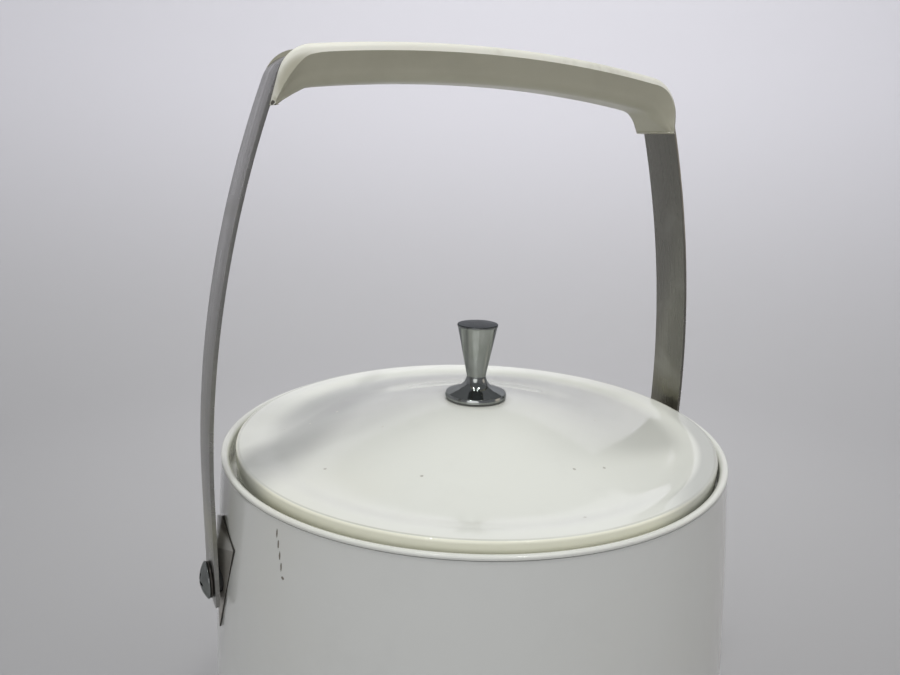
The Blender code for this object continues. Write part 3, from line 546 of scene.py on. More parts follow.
def shell_material():
    """White wall with brown drips that ran from under the rim, scuffs, greyer towards the foot, and painted
    warm shade on its right side.
    """
    surface = white_plastic("shell_gloss_white", (0.765, 0.775, 0.745))
    # Greyer towards the foot.
    surface.paint(surface.remap(surface.z, HEM_Z + 0.030, HEM_Z), (0.60, 0.59, 0.54), 0.45)
    # Painted shade: the right side of the wall is painted darker and warmer, for warm light falling from
    # the right.
    surface.paint(surface.remap(surface.x, 0.03, 0.09), (0.740, 0.715, 0.660), 0.8)
    scuffs = surface.remap(surface.noise(5.0, detail=3.0, stretch=(1.0, 1.0, 16.0)), 0.68, 0.74)
    surface.roughen(scuffs, 0.12)
    for index in range(DRIP_COUNT):
        last = index == DRIP_COUNT - 1
        angle = radians(DRIP_TURN + DRIP_TURN_STEP * index)
        z = RIM_Z - DRIP_DROP - DRIP_STEP * index
        point = (wall_radius(z) * sin(angle), -wall_radius(z) * cos(angle), z)
        size = SPOT_SIZE if last else DRIP_SIZE
        mark = surface.near(point, size, stretch=(1.0, 1.0, 1.0 if last else DRIP_FLATTENING))
        surface.paint(mark, STAIN_BROWN, 0.85)
        surface.roughen(mark, 0.30)
        surface.raise_by(mark, 0.00008)
    add_specks(surface, (0.35, 0.31, 0.24), 130.0, 0.085, 0.60, 3.0)
    return surface.done()


def liner_material():
    surface = white_plastic("liner_gloss_white", (0.755, 0.765, 0.715))
    # Patchy grime on the ledge under the lip, which also darkens the gap round the lid as painted shade.
    ledge = surface.math("MULTIPLY", surface.remap(surface.z, LIP_TOP - 0.0010, LIP_TOP - 0.0040),
                         surface.remap(surface.z, LIP_TOP - 0.0150, LIP_TOP - 0.0085))
    grime = surface.math("MULTIPLY", ledge, surface.remap(surface.noise(70.0, detail=4.0), 0.30, 0.75))
    surface.paint(grime, (0.30, 0.29, 0.20), 0.75)
    surface.roughen(grime, 0.30)
    add_specks(surface, (0.32, 0.29, 0.21), 150.0, 0.075, 0.58, 7.0)
    return surface.done()


def lid_material():
    """White lid: yellowed side wall, a darker broken line along the crest, painted shade on the back, the
    right, the front-right crest and the valley, a painted dark reflection in a band on the left, a darker
    ring round the knob, small stains and hair scratches.
    """
    surface = white_plastic("lid_gloss_white", (0.815, 0.830, 0.770), 0.10)
    radius = surface.radius((LID_CENTRE.x, LID_CENTRE.y))
    side = surface.remap(radius, LID_RADIUS - 0.0009, LID_RADIUS - 0.0003)
    surface.paint(side, (0.90, 0.895, 0.740), 0.95)
    line_in = surface.remap(radius, LID_RADIUS - 0.0018, LID_RADIUS - 0.0011)
    line_out = surface.remap(radius, LID_RADIUS - 0.0005, LID_RADIUS - 0.0010)
    crest_line = surface.math("MULTIPLY", line_in, line_out)
    broken = surface.remap(surface.noise(40.0, detail=4.0), 0.20, 0.75, 0.35, 1.0)
    surface.paint(surface.math("MULTIPLY", crest_line, broken), (0.46, 0.46, 0.37), 0.60)
    # Painted shade inside the land: greyer towards the back of the lid, and on the right of the dome.
    inner = surface.remap(radius, 0.088, 0.078)
    back = surface.product(inner, surface.remap(surface.y, -0.04, 0.08))
    surface.paint(back, (0.520, 0.530, 0.495), 0.70)
    right = surface.product(inner, surface.remap(surface.x, -0.01, 0.055),
                            surface.remap(surface.y, -0.062, -0.045))
    surface.paint(right, (0.410, 0.420, 0.390), 0.42)
    # Painted dark reflection in a diagonal band on the left of the lid, and painted shade in the valley
    # behind the knob, both mottled; the same mask also roughens the gloss.
    across = surface.product(surface.math("SUBTRACT", surface.y, surface.x), sqrt(0.5))
    dark_reflection_band = surface.product(surface.remap(across, 0.042, 0.062), surface.remap(across, 0.076, 0.066),
                           surface.remap(surface.x, 0.005, -0.03))
    hollow = surface.product(surface.remap(radius, 0.056, 0.069), surface.remap(radius, 0.088, 0.073),
                             surface.remap(surface.y, 0.0, 0.06, 0.0, 0.95))
    mottled = surface.remap(surface.noise(24.0, detail=5.0), 0.25, 0.70, 0.75, 1.0)
    haze = surface.product(surface.math("MAXIMUM", dark_reflection_band, hollow), mottled)
    surface.paint(haze, (0.400, 0.410, 0.385), 0.85)
    surface.roughen(haze, 0.10)
    front_right = surface.math("SUBTRACT", surface.x, surface.y)
    shade = surface.product(surface.remap(radius, 0.0885, 0.0915), surface.remap(front_right, 0.106, 0.127))
    surface.paint(shade, (0.410, 0.420, 0.390), 0.70)
    ring = surface.remap(radius, KNOB_FLANGE_RADIUS + 0.0035, KNOB_FLANGE_RADIUS)
    surface.paint(ring, (0.52, 0.52, 0.47), 0.45)
    draw = Random(3)
    for _ in range(LID_SPOTS):
        reach = draw.uniform(*LID_SPOT_RADII)
        angle = draw.uniform(-pi, 0.0)
        point = LID_CENTRE + Vector((reach * cos(angle), reach * sin(angle), RIM_Z + lid_height(reach)))
        mark = surface.near(point, SPOT_SIZE)
        surface.paint(mark, STAIN_BROWN, 0.5)
        surface.roughen(mark, 0.3)
    add_specks(surface, (0.40, 0.36, 0.27), 115.0, 0.075, 0.57, 11.0)
    return surface.done()


def grip_material():
    """Ivory moulding with painted shade, darker and warmer, on the sides below its top; grime clouds on
    those sides, dark specks and rubbed patches.
    """
    surface = Surface("grip_ivory_plastic", (0.830, 0.825, 0.745), 0.30)
    surface.shader.inputs["IOR"].default_value = 1.48
    surface.shader.inputs["Subsurface Weight"].default_value = 0.04
    surface.shader.inputs["Subsurface Radius"].default_value = (0.004, 0.003, 0.002)
    surface.paint(surface.remap(surface.noise(9.0, detail=5.0), 0.35, 0.72), (0.780, 0.770, 0.670), 0.6)
    # Painted shade: the faces that turn sideways and down are painted darker and warmer than the top.
    side = surface.remap(surface.facing_up, 0.32, 0.12)
    surface.paint(side, (0.520, 0.505, 0.400))
    surface.paint(surface.remap(surface.noise(55.0, detail=6.0, roughness=0.7), 0.52, 0.80),
                  (0.460, 0.440, 0.350), 0.4)
    cloud = surface.math("MULTIPLY", side, surface.remap(surface.noise(22.0, detail=5.0), 0.35, 0.72))
    surface.paint(cloud, (0.360, 0.345, 0.260), 0.45)
    surface.roughen(surface.remap(surface.noise(20.0, detail=5.0), 0.40, 0.70), 0.18)
    surface.raise_by(surface.noise(1300.0, detail=3.0), 0.000012)
    surface.raise_by(surface.noise(120.0, detail=3.0), 0.000030)
    add_specks(surface, (0.13, 0.11, 0.08), 170.0, 0.10, 0.56, 5.0)
    add_fine_scratches(surface, 0.08, 14.0)
    for end, side in ((GRIP_LEFT_END, -1), (GRIP_RIGHT_END, 1)):
        height = PIVOT_Z + PIVOT_DROP + end["z"]
        nub = surface.near((side * (end["x"] - 0.0010), -0.0095 + LEAN_SHIFT, height), 0.0011)
        surface.paint(nub, (0.055, 0.048, 0.035), 0.95)
    draw = Random(4)
    for _ in range(GRIP_SPOTS):
        x = draw.uniform(-GRIP_SPOT_REACH, GRIP_SPOT_REACH)
        sag = ARCH_RADIUS - sqrt(ARCH_RADIUS ** 2 - x ** 2)
        z = STRAP_HIGH.z - sag - draw.uniform(*GRIP_SPOT_DROPS)
        mark = surface.near((x, -GRIP_HALF_WIDTH + LEAN_SHIFT, z), SPOT_SIZE)
        surface.paint(mark, (0.16, 0.14, 0.10), 0.8)
        surface.roughen(mark, 0.3)
    return surface.done()


def strap_material():
    """Brushed stainless strip: streaks along its length, cloudy handling marks, tarnish low down and
    painted shade on its right side.
    """
    surface = Surface("strap_brushed_steel", (0.400, 0.395, 0.375), 0.27, 1.0)
    streaks = surface.noise(10.0, detail=6.0, roughness=0.7, stretch=(1.6, 260.0, 1.6))
    fine = surface.noise(10.0, detail=4.0, roughness=0.7, stretch=(4.0, 900.0, 4.0))
    surface.paint(surface.remap(streaks, 0.35, 0.70), (0.300, 0.295, 0.278), 0.75)
    surface.paint(surface.remap(fine, 0.45, 0.75), (0.480, 0.475, 0.460), 0.5)
    low = surface.remap(surface.z, RIM_Z + 0.065, RIM_Z - 0.005)
    tarnish = surface.math("MULTIPLY", low, surface.remap(surface.noise(22.0, detail=5.0), 0.38, 0.68))
    surface.paint(tarnish, (0.430, 0.420, 0.290), 0.70)
    # Painted shade: the strap is painted darker towards its right leg.
    right_side_shade = surface.remap(surface.x, 0.02, 0.06)
    surface.paint(right_side_shade, (0.235, 0.230, 0.200), 0.75)
    clouds = surface.remap(surface.noise(26.0, detail=4.0, distortion=0.6), 0.55, 0.72)
    surface.paint(clouds, (0.46, 0.455, 0.41), 0.45)
    surface.roughen(clouds, 0.12)
    surface.roughen(surface.remap(streaks, 0.40, 0.70), 0.14)
    spots = surface.remap(surface.cells(95.0), 0.10, 0.04)
    rust = surface.math("MULTIPLY", spots, surface.remap(surface.noise(18.0, detail=2.0), 0.58, 0.66))
    surface.paint(rust, (0.12, 0.085, 0.05), 0.8)
    surface.roughen(rust, 0.35)
    surface.raise_by(streaks, 0.0000060)
    surface.raise_by(fine, 0.0000025)
    return surface.done()


def chrome_material():
    """Old chrome plate: slight clouding, pits, a dull film that thickens in patches, and a painted dark
    reflection on the knob's flat top.
    """
    surface = Surface("aged_chrome", (0.330, 0.345, 0.335), 0.06, 1.0)
    surface.shader.inputs["Specular Tint"].default_value = (0.55, 0.56, 0.56, 1.0)
    film = surface.remap(surface.noise(70.0, detail=5.0, roughness=0.65), 0.40, 0.72)
    surface.paint(film, (0.240, 0.255, 0.235), 0.65)
    surface.roughen(film, 0.09)
    streaks = surface.noise(24.0, detail=4.0, stretch=(14.0, 14.0, 0.7))
    surface.paint(surface.remap(streaks, 0.50, 0.74), (0.420, 0.430, 0.420), 0.4)
    # Painted reflection: the knob's flat top is painted nearly black for the dark it mirrors.
    cap = surface.remap(surface.z, KNOB_TOP - 0.0005, KNOB_TOP - 0.0001)
    surface.paint(cap, (0.052, 0.057, 0.060), 0.95)
    surface.roughen(cap, 0.12)
    pits = surface.remap(surface.cells(420.0), 0.16, 0.07)
    gate = surface.remap(surface.noise(60.0, detail=2.0, shift=(4.0, 1.0, 0.0)), 0.55, 0.66)
    mask = surface.math("MULTIPLY", pits, gate)
    surface.paint(mask, (0.10, 0.09, 0.07), 0.8)
    surface.roughen(mask, 0.4)
    surface.raise_by(mask, -0.00003)
    surface.raise_by(surface.noise(300.0, detail=2.0), 0.0000020)
    return surface.done()


def plate_material():
    """Worn nickel plate: a painted dark brown reflection on the upper facets, grey below the ridge, a
    painted glint above it, and painted shadow on the edges.
    """
    surface = Surface("worn_nickel_plate", (0.470, 0.450, 0.405), 0.30, 0.35)
    surface.paint(surface.remap(surface.noise(55.0, detail=5.0), 0.38, 0.70), (0.380, 0.360, 0.315), 0.6)
    # Painted reflection: the upper facets, which face up, are painted dark brown.
    upper = surface.remap(surface.facing_up, 0.02, 0.10)
    film = surface.product(upper, surface.remap(surface.noise(120.0, detail=4.0), 0.20, 0.60, 0.7, 1.0))
    surface.paint(film, (0.070, 0.058, 0.048), 0.92)
    corner = PLATE_TOP_Z - PLATE_SIDE_DROP
    glint = surface.math("MULTIPLY", upper, surface.remap(surface.z, corner + 0.0034, corner + 0.0006))
    surface.paint(glint, (0.720, 0.710, 0.670), 0.8)
    # Painted shadow: the plate's edges, which face sideways, are painted nearly black.
    edges = surface.remap(surface.math("ABSOLUTE", surface.facing_out), 0.80, 0.55)
    surface.paint(edges, (0.030, 0.027, 0.023), 0.95)
    surface.roughen(surface.remap(surface.noise(200.0, detail=4.0), 0.40, 0.70), 0.15)
    surface.raise_by(surface.noise(600.0, detail=3.0), 0.000008)
    return surface.done()


def metal(name, color, roughness, stain):
    """Small steel hardware: uneven plating, pits and stains."""
    surface = Surface(name, color, roughness, 1.0)
    surface.paint(surface.remap(surface.noise(150.0, detail=5.0), 0.40, 0.70), stain, 0.7)
    surface.paint(surface.remap(surface.noise(600.0, detail=3.0), 0.62, 0.75), (0.10, 0.07, 0.045), 0.5)
    surface.roughen(surface.remap(surface.noise(240.0, detail=4.0), 0.40, 0.70), 0.20)
    surface.raise_by(surface.noise(800.0, detail=3.0), 0.000010)
    return surface.done()


def dull_plastic(name, color, roughness, grain):
    """Matt moulding or rubber: grain, dust on raised spots and rubbed shine."""
    surface = Surface(name, color, roughness)
    dusty = tuple(min(1.0, c * 1.35 + 0.03) for c in color)
    surface.paint(surface.remap(surface.noise(45.0, detail=6.0, roughness=0.7), 0.45, 0.75), dusty, 0.5)
    darker = tuple(c * 0.75 for c in color)
    surface.paint(surface.remap(surface.noise(12.0, detail=4.0), 0.50, 0.75), darker, 0.6)
    surface.roughen(surface.remap(surface.noise(30.0, detail=4.0), 0.45, 0.70), -0.12)
    surface.raise_by(surface.noise(grain, detail=4.0), 0.000035)
    return surface.done()


def foam_material():
    """Expanded foam: packed beads with darker seams."""
    surface = Surface("bead_foam", (0.80, 0.79, 0.72), 0.9)
    beads = surface.cells(330.0)
    surface.paint(surface.remap(beads, 0.45, 0.75), (0.62, 0.60, 0.50), 0.7)
    surface.paint(surface.remap(surface.noise(15.0), 0.45, 0.75), (0.74, 0.71, 0.58), 0.6)
    surface.raise_by(surface.remap(beads, 0.2, 0.7, 1.0, 0.0), 0.0003)
    return surface.done()


# ---------------------------------------------------------------- outer body
def wall_radius(z):
    """Outside radius of the outer wall at a height above the table."""
    drop = RIM_Z - z
    if drop < BELLY_DROP:
        share = (BELLY_DROP - drop) / BELLY_DROP
        return BELLY_RADIUS - (BELLY_RADIUS - WALL_TOP_RADIUS) * share ** UPPER_SWELL
    foot_drop = RIM_Z - HEM_Z - FOOT_BEND
    share = (drop - BELLY_DROP) / (foot_drop - BELLY_DROP)
    return BELLY_RADIUS - (BELLY_RADIUS - WALL_FOOT_RADIUS) * min(share, 1.0) ** LOWER_SWELL


def wall_points(offset, top, bottom, steps):
    heights = [top + (bottom - top) * i / steps for i in range(steps + 1)]
    return [(wall_radius(z) + offset, z) for z in heights]


def base_screw_place(index):
    angle = radians(90 + 360 * index / BASE_SCREW_COUNT)
    return (BASE_SCREW_CIRCLE * cos(angle), BASE_SCREW_CIRCLE * sin(angle), 0.0)


def build_shell(material):
    turn_z = HEM_Z + FOOT_BEND
    bend_centre = (WALL_FOOT_RADIUS - FOOT_BEND, turn_z)
    profile = []
    for radius, z in wall_points(0.0, RIM_Z - GAP, RIM_Z - WALL_FLARE, 8):
        share = (z - RIM_Z + WALL_FLARE) / WALL_FLARE
        profile.append((radius + (RIM_RADIUS - WALL_TOP_RADIUS) * share ** 2, z))
    profile += wall_points(0.0, RIM_Z - WALL_FLARE, turn_z, 48)[1:]
    profile += arc(bend_centre, FOOT_BEND, 0, -90, 12)[1:]
    profile += [(HEM_INNER_RADIUS, HEM_Z), (HEM_INNER_RADIUS, HEM_Z + SHELL_WALL)]
    profile += arc(bend_centre, FOOT_BEND - SHELL_WALL, -90, 0, 8)
    profile += wall_points(-SHELL_WALL, turn_z, RIM_Z - SHELL_STEP_DROP - SHELL_STEP, 24)[1:]
    collar = WALL_TOP_RADIUS - SHELL_WALL / 2
    profile += [(collar, RIM_Z - SHELL_STEP_DROP), (collar, RIM_Z - GAP)]
    holes = []
    for side in (-1, 1):
        hole = rod_mesh("hole", SCREW_SHANK_RADIUS + GAP, DRILL_LOW, DRILL_HIGH)
        hole.transform(along_x(side))
        holes.append(hole)
    for index in range(BASE_SCREW_COUNT):
        hole = rod_mesh("hole", BASE_SCREW_HOLE, -OVERCUT, HEM_Z + OVERCUT)
        hole.transform(Matrix.Translation(base_screw_place(index)))
        holes.append(hole)
    mesh = cut_mesh(turned_mesh("shell", profile, closed=True), holes)
    piece("outer_wall", smooth(mesh), material, "bucket", "shell_white", "outer_shell")


def build_liner(material):
    collar = LIP_INNER_RADIUS + COLLAR_WALL
    seat_z = RIM_Z - LEDGE_DROP
    bend = LINER_BEND
    inner_centre = (LINER_FOOT_RADIUS - bend, LINER_FLOOR_Z + bend)
    profile = [(0.0, LINER_FLOOR_Z)]
    profile += arc(inner_centre, bend, -90, 0, 16)
    profile += arc((LINER_TOP_RADIUS + LEDGE_BEND, seat_z - LEDGE_BEND), LEDGE_BEND, 180, 90, 6)
    profile += [(LIP_INNER_RADIUS - LEDGE_STEP, seat_z), (LIP_INNER_RADIUS, seat_z)]
    inner_bend = (LIP_INNER_RADIUS + LIP_INNER_BEND, LIP_TOP - LIP_INNER_BEND)
    profile += arc(inner_bend, LIP_INNER_BEND, 180, 90, 14)
    profile += arc((RIM_RADIUS - LIP_OUTER_BEND, LIP_TOP - LIP_OUTER_BEND), LIP_OUTER_BEND, 90, 0, 8)
    profile += [(RIM_RADIUS, RIM_Z), (collar, RIM_Z)]
    outer_centre = (LINER_FOOT_RADIUS - bend, LINER_FLOOR_Z + bend)
    profile += [(collar, seat_z - LINER_WALL), (LINER_TOP_RADIUS + LINER_WALL, seat_z - LINER_WALL)]
    profile += arc(outer_centre, bend + LINER_WALL, 0, -90, 16)
    profile.append((0.0, LINER_FLOOR_Z - LINER_WALL))
    mesh = turned_mesh("liner", profile)
    piece("liner_and_rim", mesh, material, "bucket", "liner_white", "inner_liner")


def build_base(plate_material, rubber):
    low, high, radius = BASE_LOW.z, BASE_HIGH.z, BASE_HIGH.x
    corners = [(0.0, high, 0.0), (radius, high, BASE_EDGE), (radius, low, BASE_EDGE)]
    for groove in BASE_GROOVES:
        corners += [(groove + 0.0010, low, 0.0003), (groove + 0.0006, low + 0.0005, 0.0002)]
        corners += [(groove - 0.0006, low + 0.0005, 0.0002), (groove - 0.0010, low, 0.0003)]
    corners.append((0.0, low, 0.0))
    drills = []
    for index in range(FOOT_COUNT):
        angle = radians(45 + 360 * index / FOOT_COUNT)
        centre = Vector((FOOT_CIRCLE * cos(angle), FOOT_CIRCLE * sin(angle), 0.0))
        drill = rod_mesh("drill", FOOT_STEM_RADIUS + GAP, low - OVERCUT, high + OVERCUT)
        drill.transform(Matrix.Translation(centre))
        drills.append(drill)
        top = low - GAP
        line = [(0.0, high, 0.0), (FOOT_STEM_RADIUS, high, 0.0003), (FOOT_STEM_RADIUS, top, 0.0)]
        line += [(FOOT_RADIUS, top, 0.0003), (FOOT_RADIUS, 0.0, 0.0006)]
        line += [(FOOT_RADIUS - 0.0022, 0.0, 0.0002), (FOOT_RADIUS - 0.0028, 0.0005, 0.0002)]
        line.append((0.0, 0.0005, 0.0))
        foot = turned_mesh("foot", rounded(line, steps=3), steps=SMALL_STEPS, centre=centre)
        name = f"rubber_foot_{index + 1}"
        piece(f"foot_pad_{index + 1}", foot, rubber, "bucket", "foot_rubber", name)
    for index in range(BASE_SCREW_COUNT):
        drill = rod_mesh("drill", BASE_SCREW_HOLE, low - OVERCUT, high + OVERCUT)
        drill.transform(Matrix.Translation(base_screw_place(index)))
        drills.append(drill)
    mesh = cut_mesh(turned_mesh("base", rounded(corners, steps=2)), drills)
    piece("base_disc", smooth(mesh), plate_material, "bucket", "base_grey", "base_plate")


# ---------------------------------------------------------------- lid
def lid_height(radius):
    """Top surface of the lid above RIM_Z: flat land, soft valley and dome."""
    if radius > LID_LAND_RADIUS:
        return LID_CREST
    if radius > LID_VALLEY_RADIUS:
        share = (LID_LAND_RADIUS - radius) / (LID_LAND_RADIUS - LID_VALLEY_RADIUS)
        return LID_CREST - (LID_CREST - LID_VALLEY) * (1 - cos(pi * share)) / 2
    rise = (1 + cos(pi * radius / LID_VALLEY_RADIUS)) / 2
    return LID_VALLEY + (LID_DOME - LID_VALLEY) * rise ** LID_DOME_POWER


def lid_line(offset, inner, outer, steps):
    radii = [inner + (outer - inner) * i / steps for i in range(steps + 1)]
    return [(radius, RIM_Z + lid_height(radius) - offset) for radius in radii]


def build_lid(material, liner_material):
    crest = RIM_Z + LID_CREST
    top = plain(lid_line(0.0, LID_BORE_RADIUS, LID_RADIUS - 2 * LID_EDGE, 96))
    edge = [
        (LID_RADIUS, crest, LID_EDGE),
        (LID_RADIUS, SKIRT_Z, 0.0003),
        (LID_RADIUS - LID_WALL, SKIRT_Z, 0.0003),
    ]
    under = plain(reversed(lid_line(LID_WALL, LID_BORE_RADIUS, LID_RADIUS - LID_WALL, 48)))
    profile = rounded(top + edge + under, closed=True)
    mesh = turned_mesh("lid", profile, closed=True, centre=LID_CENTRE)
    piece("lid_top", mesh, material, "lid", "lid_white", "lid_cover")
    flange_low, flange_high, floor = RIM_Z - LEDGE_DROP + GAP, PLUG_HIGH.z, PLUG_LOW.z
    outer_bend = (PLUG_RADIUS - PLUG_BEND, floor + PLUG_BEND)
    bore = LID_BORE_RADIUS
    line = [(PLUG_RADIUS - PLUG_WALL, flange_high, 0.0), (LID_RADIUS, flange_high, 0.0003)]
    line += [(LID_RADIUS, flange_low, 0.0004), (PLUG_RADIUS, flange_low, 0.0006)]
    line += plain(arc(outer_bend, PLUG_BEND, 0, -90, 10))
    for groove in PLUG_GROOVES:
        line += [(groove + 0.0015, floor, 0.0005), (groove, floor + 0.0006, 0.0005)]
        line.append((groove - 0.0015, floor, 0.0005))
    line += [(bore, floor, 0.0), (bore, floor + PLUG_WALL, 0.0)]
    line += plain(arc(outer_bend, PLUG_BEND - PLUG_WALL, -90, 0, 6))
    plug = turned_mesh("plug", rounded(line, closed=True), closed=True, centre=LID_CENTRE)
    piece("lid_plug", plug, liner_material, "lid", "liner_white", "lid_liner")


def build_knob(material):
    """Trumpet knob: flat top with a rounded edge, straight neck, hollow fillet and conical flange."""
    waist = KNOB_TOP - KNOB_WAIST_DROP
    flange = KNOB_TOP - KNOB_FLANGE_DROP
    under, seat = KNOB_LOW.z, RIM_Z + LID_DOME + GAP
    cap = [(0.0, KNOB_TOP, 0.0), (KNOB_TOP_RADIUS, KNOB_TOP, KNOB_EDGE)]
    cap += [(KNOB_TOP_RADIUS - 0.0001, KNOB_TOP - 0.0009, 0.0002)]
    cap += [(KNOB_NECK_RADIUS, KNOB_TOP - KNOB_NECK_DROP, 0.0001)]
    line = rounded(cap + [(KNOB_WAIST_RADIUS, waist, 0.0)], steps=6)[:-1]
    line += arc((KNOB_WAIST_RADIUS + KNOB_FILLET, waist), KNOB_FILLET, 180, 180 + KNOB_FILLET_TURN, 24)
    crown = KNOB_FLANGE_RADIUS - KNOB_FLANGE_BEVEL
    foot = [(*line.pop(), 0.0), (crown, flange + KNOB_FLANGE_CROWN, 0.0006)]
    foot += [(KNOB_FLANGE_RADIUS, flange, 0.0004), (KNOB_FLANGE_RADIUS, under, 0.0003)]
    foot += [(KNOB_FLANGE_RADIUS - KNOB_FLANGE_EDGE, under, 0.0), (KNOB_SEAT_RADIUS, seat, 0.0)]
    foot.append((KNOB_BORE_RADIUS, seat, 0.0))
    line += rounded(foot)
    line += [(KNOB_BORE_RADIUS, seat + KNOB_BORE_DEPTH), (0.0, seat + KNOB_BORE_DEPTH)]
    mesh = turned_mesh("knob", line, steps=96, centre=LID_CENTRE)
    piece("knob_trumpet", mesh, material, "lid", "chrome", "lid_knob")


# ---------------------------------------------------------------- handle
def circles_meet(centre_a, radius_a, centre_b, radius_b):
    """The upper right crossing of two circles."""
    span = hypot(centre_b[0] - centre_a[0], centre_b[1] - centre_a[1])
    bearing = atan2(centre_b[1] - centre_a[1], centre_b[0] - centre_a[0])
    swing = acos((radius_a ** 2 + span ** 2 - radius_b ** 2) / (2 * radius_a * span))
    crossings = []
    for sign in (-1, 1):
        angle = bearing + sign * swing
        crossings.append((centre_a[0] + radius_a * cos(angle), centre_a[1] + radius_a * sin(angle)))
    return max(crossings, key=sum)


def heading(origin, point):
    return atan2(point[1] - origin[1], point[0] - origin[0]) * 180 / pi


def whole_path(offset):
    """The strap's line moved out by offset from its outer face, right end to left end, above the pivots."""
    leg_centre = (LEG_OUTER_X - LEG_ARC_RADIUS, PIVOT_DROP - LEG_ARC_DROP)
    arch_centre = (0.0, PIVOT_DROP + ARCH_TOP - ARCH_RADIUS)
    leg_inset = LEG_ARC_RADIUS - STRAP_BEND
    bend_centre = circles_meet(leg_centre, leg_inset, arch_centre, ARCH_RADIUS - STRAP_BEND)
    leg_end = heading(leg_centre, bend_centre)
    arch_start = heading(arch_centre, bend_centre)
    right = [(LEG_OUTER_X + offset, -STRAP_END_DROP), (LEG_OUTER_X + offset, 0.0)]
    right += arc(leg_centre, LEG_ARC_RADIUS + offset, 0, leg_end, 40)
    right += arc(bend_centre, STRAP_BEND + offset, leg_end, arch_start, 14)[1:]
    right += arc(arch_centre, ARCH_RADIUS + offset, arch_start, 90, 28)[1:]
    return right + [(-x, z) for x, z in reversed(right[:-1])]


def handle_place():
    """From the upright handle, with heights above the pivots, to where it leans on the bucket."""
    return Matrix.Translation((0.0, 0.0, PIVOT_Z)) @ Matrix.Rotation(HANDLE_LEAN, 4, "X")


def build_strap(material):
    path = [Vector(point) for point in whole_path(-STRAP_THICKNESS / 2)]
    rows = []
    for i in range(9):
        swing = radians(90 * i / 8)
        rise = Vector((0.0, STRAP_CORNER * (1 - cos(swing))))
        rows.append((rise, STRAP_WIDTH / 2 - STRAP_CORNER * (1 - sin(swing))))
    line = [(path[0] + rise, half) for rise, half in rows]
    line += [(point, STRAP_WIDTH / 2) for point in path[1:-1]]
    line += [(path[-1] + rise, half) for rise, half in reversed(rows)]
    shape = bmesh.new()
    pairs = []
    for point, half in line:
        pairs.append([shape.verts.new((point.x, y, point.y)) for y in (-half, half)])
    for (near_a, far_a), (near_b, far_b) in zip(pairs, pairs[1:]):
        shape.faces.new((near_a, far_a, far_b, near_b))
    mesh = bpy.data.meshes.new("strap")
    shape.to_mesh(mesh)
    shape.free()
    item = loose_object("work", mesh)
    solid = item.modifiers.new("Thickness", "SOLIDIFY")
    solid.thickness = STRAP_THICKNESS
    solid.offset = 0.0
    solid.use_even_offset = True
    mesh = evaluated(item)
    bpy.data.objects.remove(item, do_unlink=True)
    mesh = bevelled(mesh, STRAP_EDGE, 3, 60)
    holes = []
    for side in (-1, 1):
        hole = rod_mesh("hole", PIVOT_HOLE_RADIUS, DRILL_LOW, DRILL_HIGH)
        hole.transform(Matrix.Rotation(side * pi / 2, 4, "Y"))
        holes.append(hole)
    mesh = cut_mesh(mesh, holes)
    mesh.transform(handle_place())
    piece("strap_handle", smooth(mesh), material, "handle", "strap_steel", "handle_strap")


def grip_half_lines(end):
    """Matching points along the top line and the underside, from one end's tip to the middle."""
    top = PIVOT_DROP + ARCH_TOP + GRIP_LIP_HEIGHT
    radius = ARCH_RADIUS + GRIP_LIP_HEIGHT
    centre = (0.0, top - radius)
    slope = radians(end["slope"])
    tip = Vector((end["x"], PIVOT_DROP + end["z"]))
    reach = tip.x * cos(slope) + (tip.y - centre[1]) * sin(slope) - end["corner"]
    inset = radius - end["corner"]
    swing = slope + acos(reach / inset)
    corner = (inset * cos(swing), centre[1] + inset * sin(swing))
    corner_end = heading(centre, corner)
    bend = arc(corner, end["corner"], end["slope"], corner_end, 20)
    upper = [tuple(tip.lerp(Vector(bend[0]), i / 8)) for i in range(8)]
    upper += bend + arc(centre, radius, corner_end, 90, 30)[1:]
    under_radius = radius - GRIP_DEPTH
    fairing_angle = acos(GRIP_FAIRING_X / under_radius) * 180 / pi
    fairing_top = Vector((GRIP_FAIRING_X, centre[1] + under_radius * sin(radians(fairing_angle))))
    toe = tip - Vector((end["toe"], 0.0))
    lower = [tuple(toe.lerp(fairing_top, i / 28)) for i in range(28)]
    lower += arc(centre, under_radius, fairing_angle, 90, 30)
    for _ in range(8):
        inner = [((a[0] + 2 * b[0] + c[0]) / 4, (a[1] + 2 * b[1] + c[1]) / 4)
                 for a, b, c in zip(lower, lower[1:], lower[2:])]
        lower = [lower[0]] + inner + [lower[-1]]
    lower[1] = (lower[1][0] - GRIP_TIP_BEAD, lower[1][1])
    return upper, lower


def grip_lines():
    """Matching points along the grip's top line and its underside, right end to left end."""
    upper, lower = grip_half_lines(GRIP_RIGHT_END)
    left_upper, left_lower = grip_half_lines(GRIP_LEFT_END)
    upper += [(-x, z) for x, z in reversed(left_upper[:-1])]
    lower += [(-x, z) for x, z in reversed(left_lower[:-1])]
    return upper, lower


def grip_section(depth, half, flare):
    """Half of the grip's section, as (sideways, below the top line): sloping shoulder, side, underside."""
    shoulder = min(GRIP_SHOULDER * (1 + flare), 0.50 * depth)
    draft = GRIP_DRAFT * min(1.0, depth / GRIP_DEPTH)
    bend = min(GRIP_UNDER_BEND, 0.34 * depth)
    inset = GRIP_SHOULDER_INSET
    turn = radians(GRIP_SHOULDER_TURN)
    line = [((half - inset) * i / 6, 0.0) for i in range(7)]
    for i in range(1, 7):
        angle = turn * i / 6
        down = shoulder * (1 - cos(angle)) / (1 - cos(turn))
        line.append((half - inset + inset * sin(angle) / sin(turn), down))
    for i in range(1, 7):
        share = i / 6
        line.append((half - draft * share, shoulder + (depth - bend - shoulder) * share))
    low_half = half - draft
    for i in range(1, 9):
        angle = pi / 2 * i / 8
        line.append((low_half - bend * (1 - cos(angle)), depth - bend + bend * sin(angle)))
    line += [((low_half - bend) * (1 - i / 5), depth) for i in range(1, 6)]
    return line


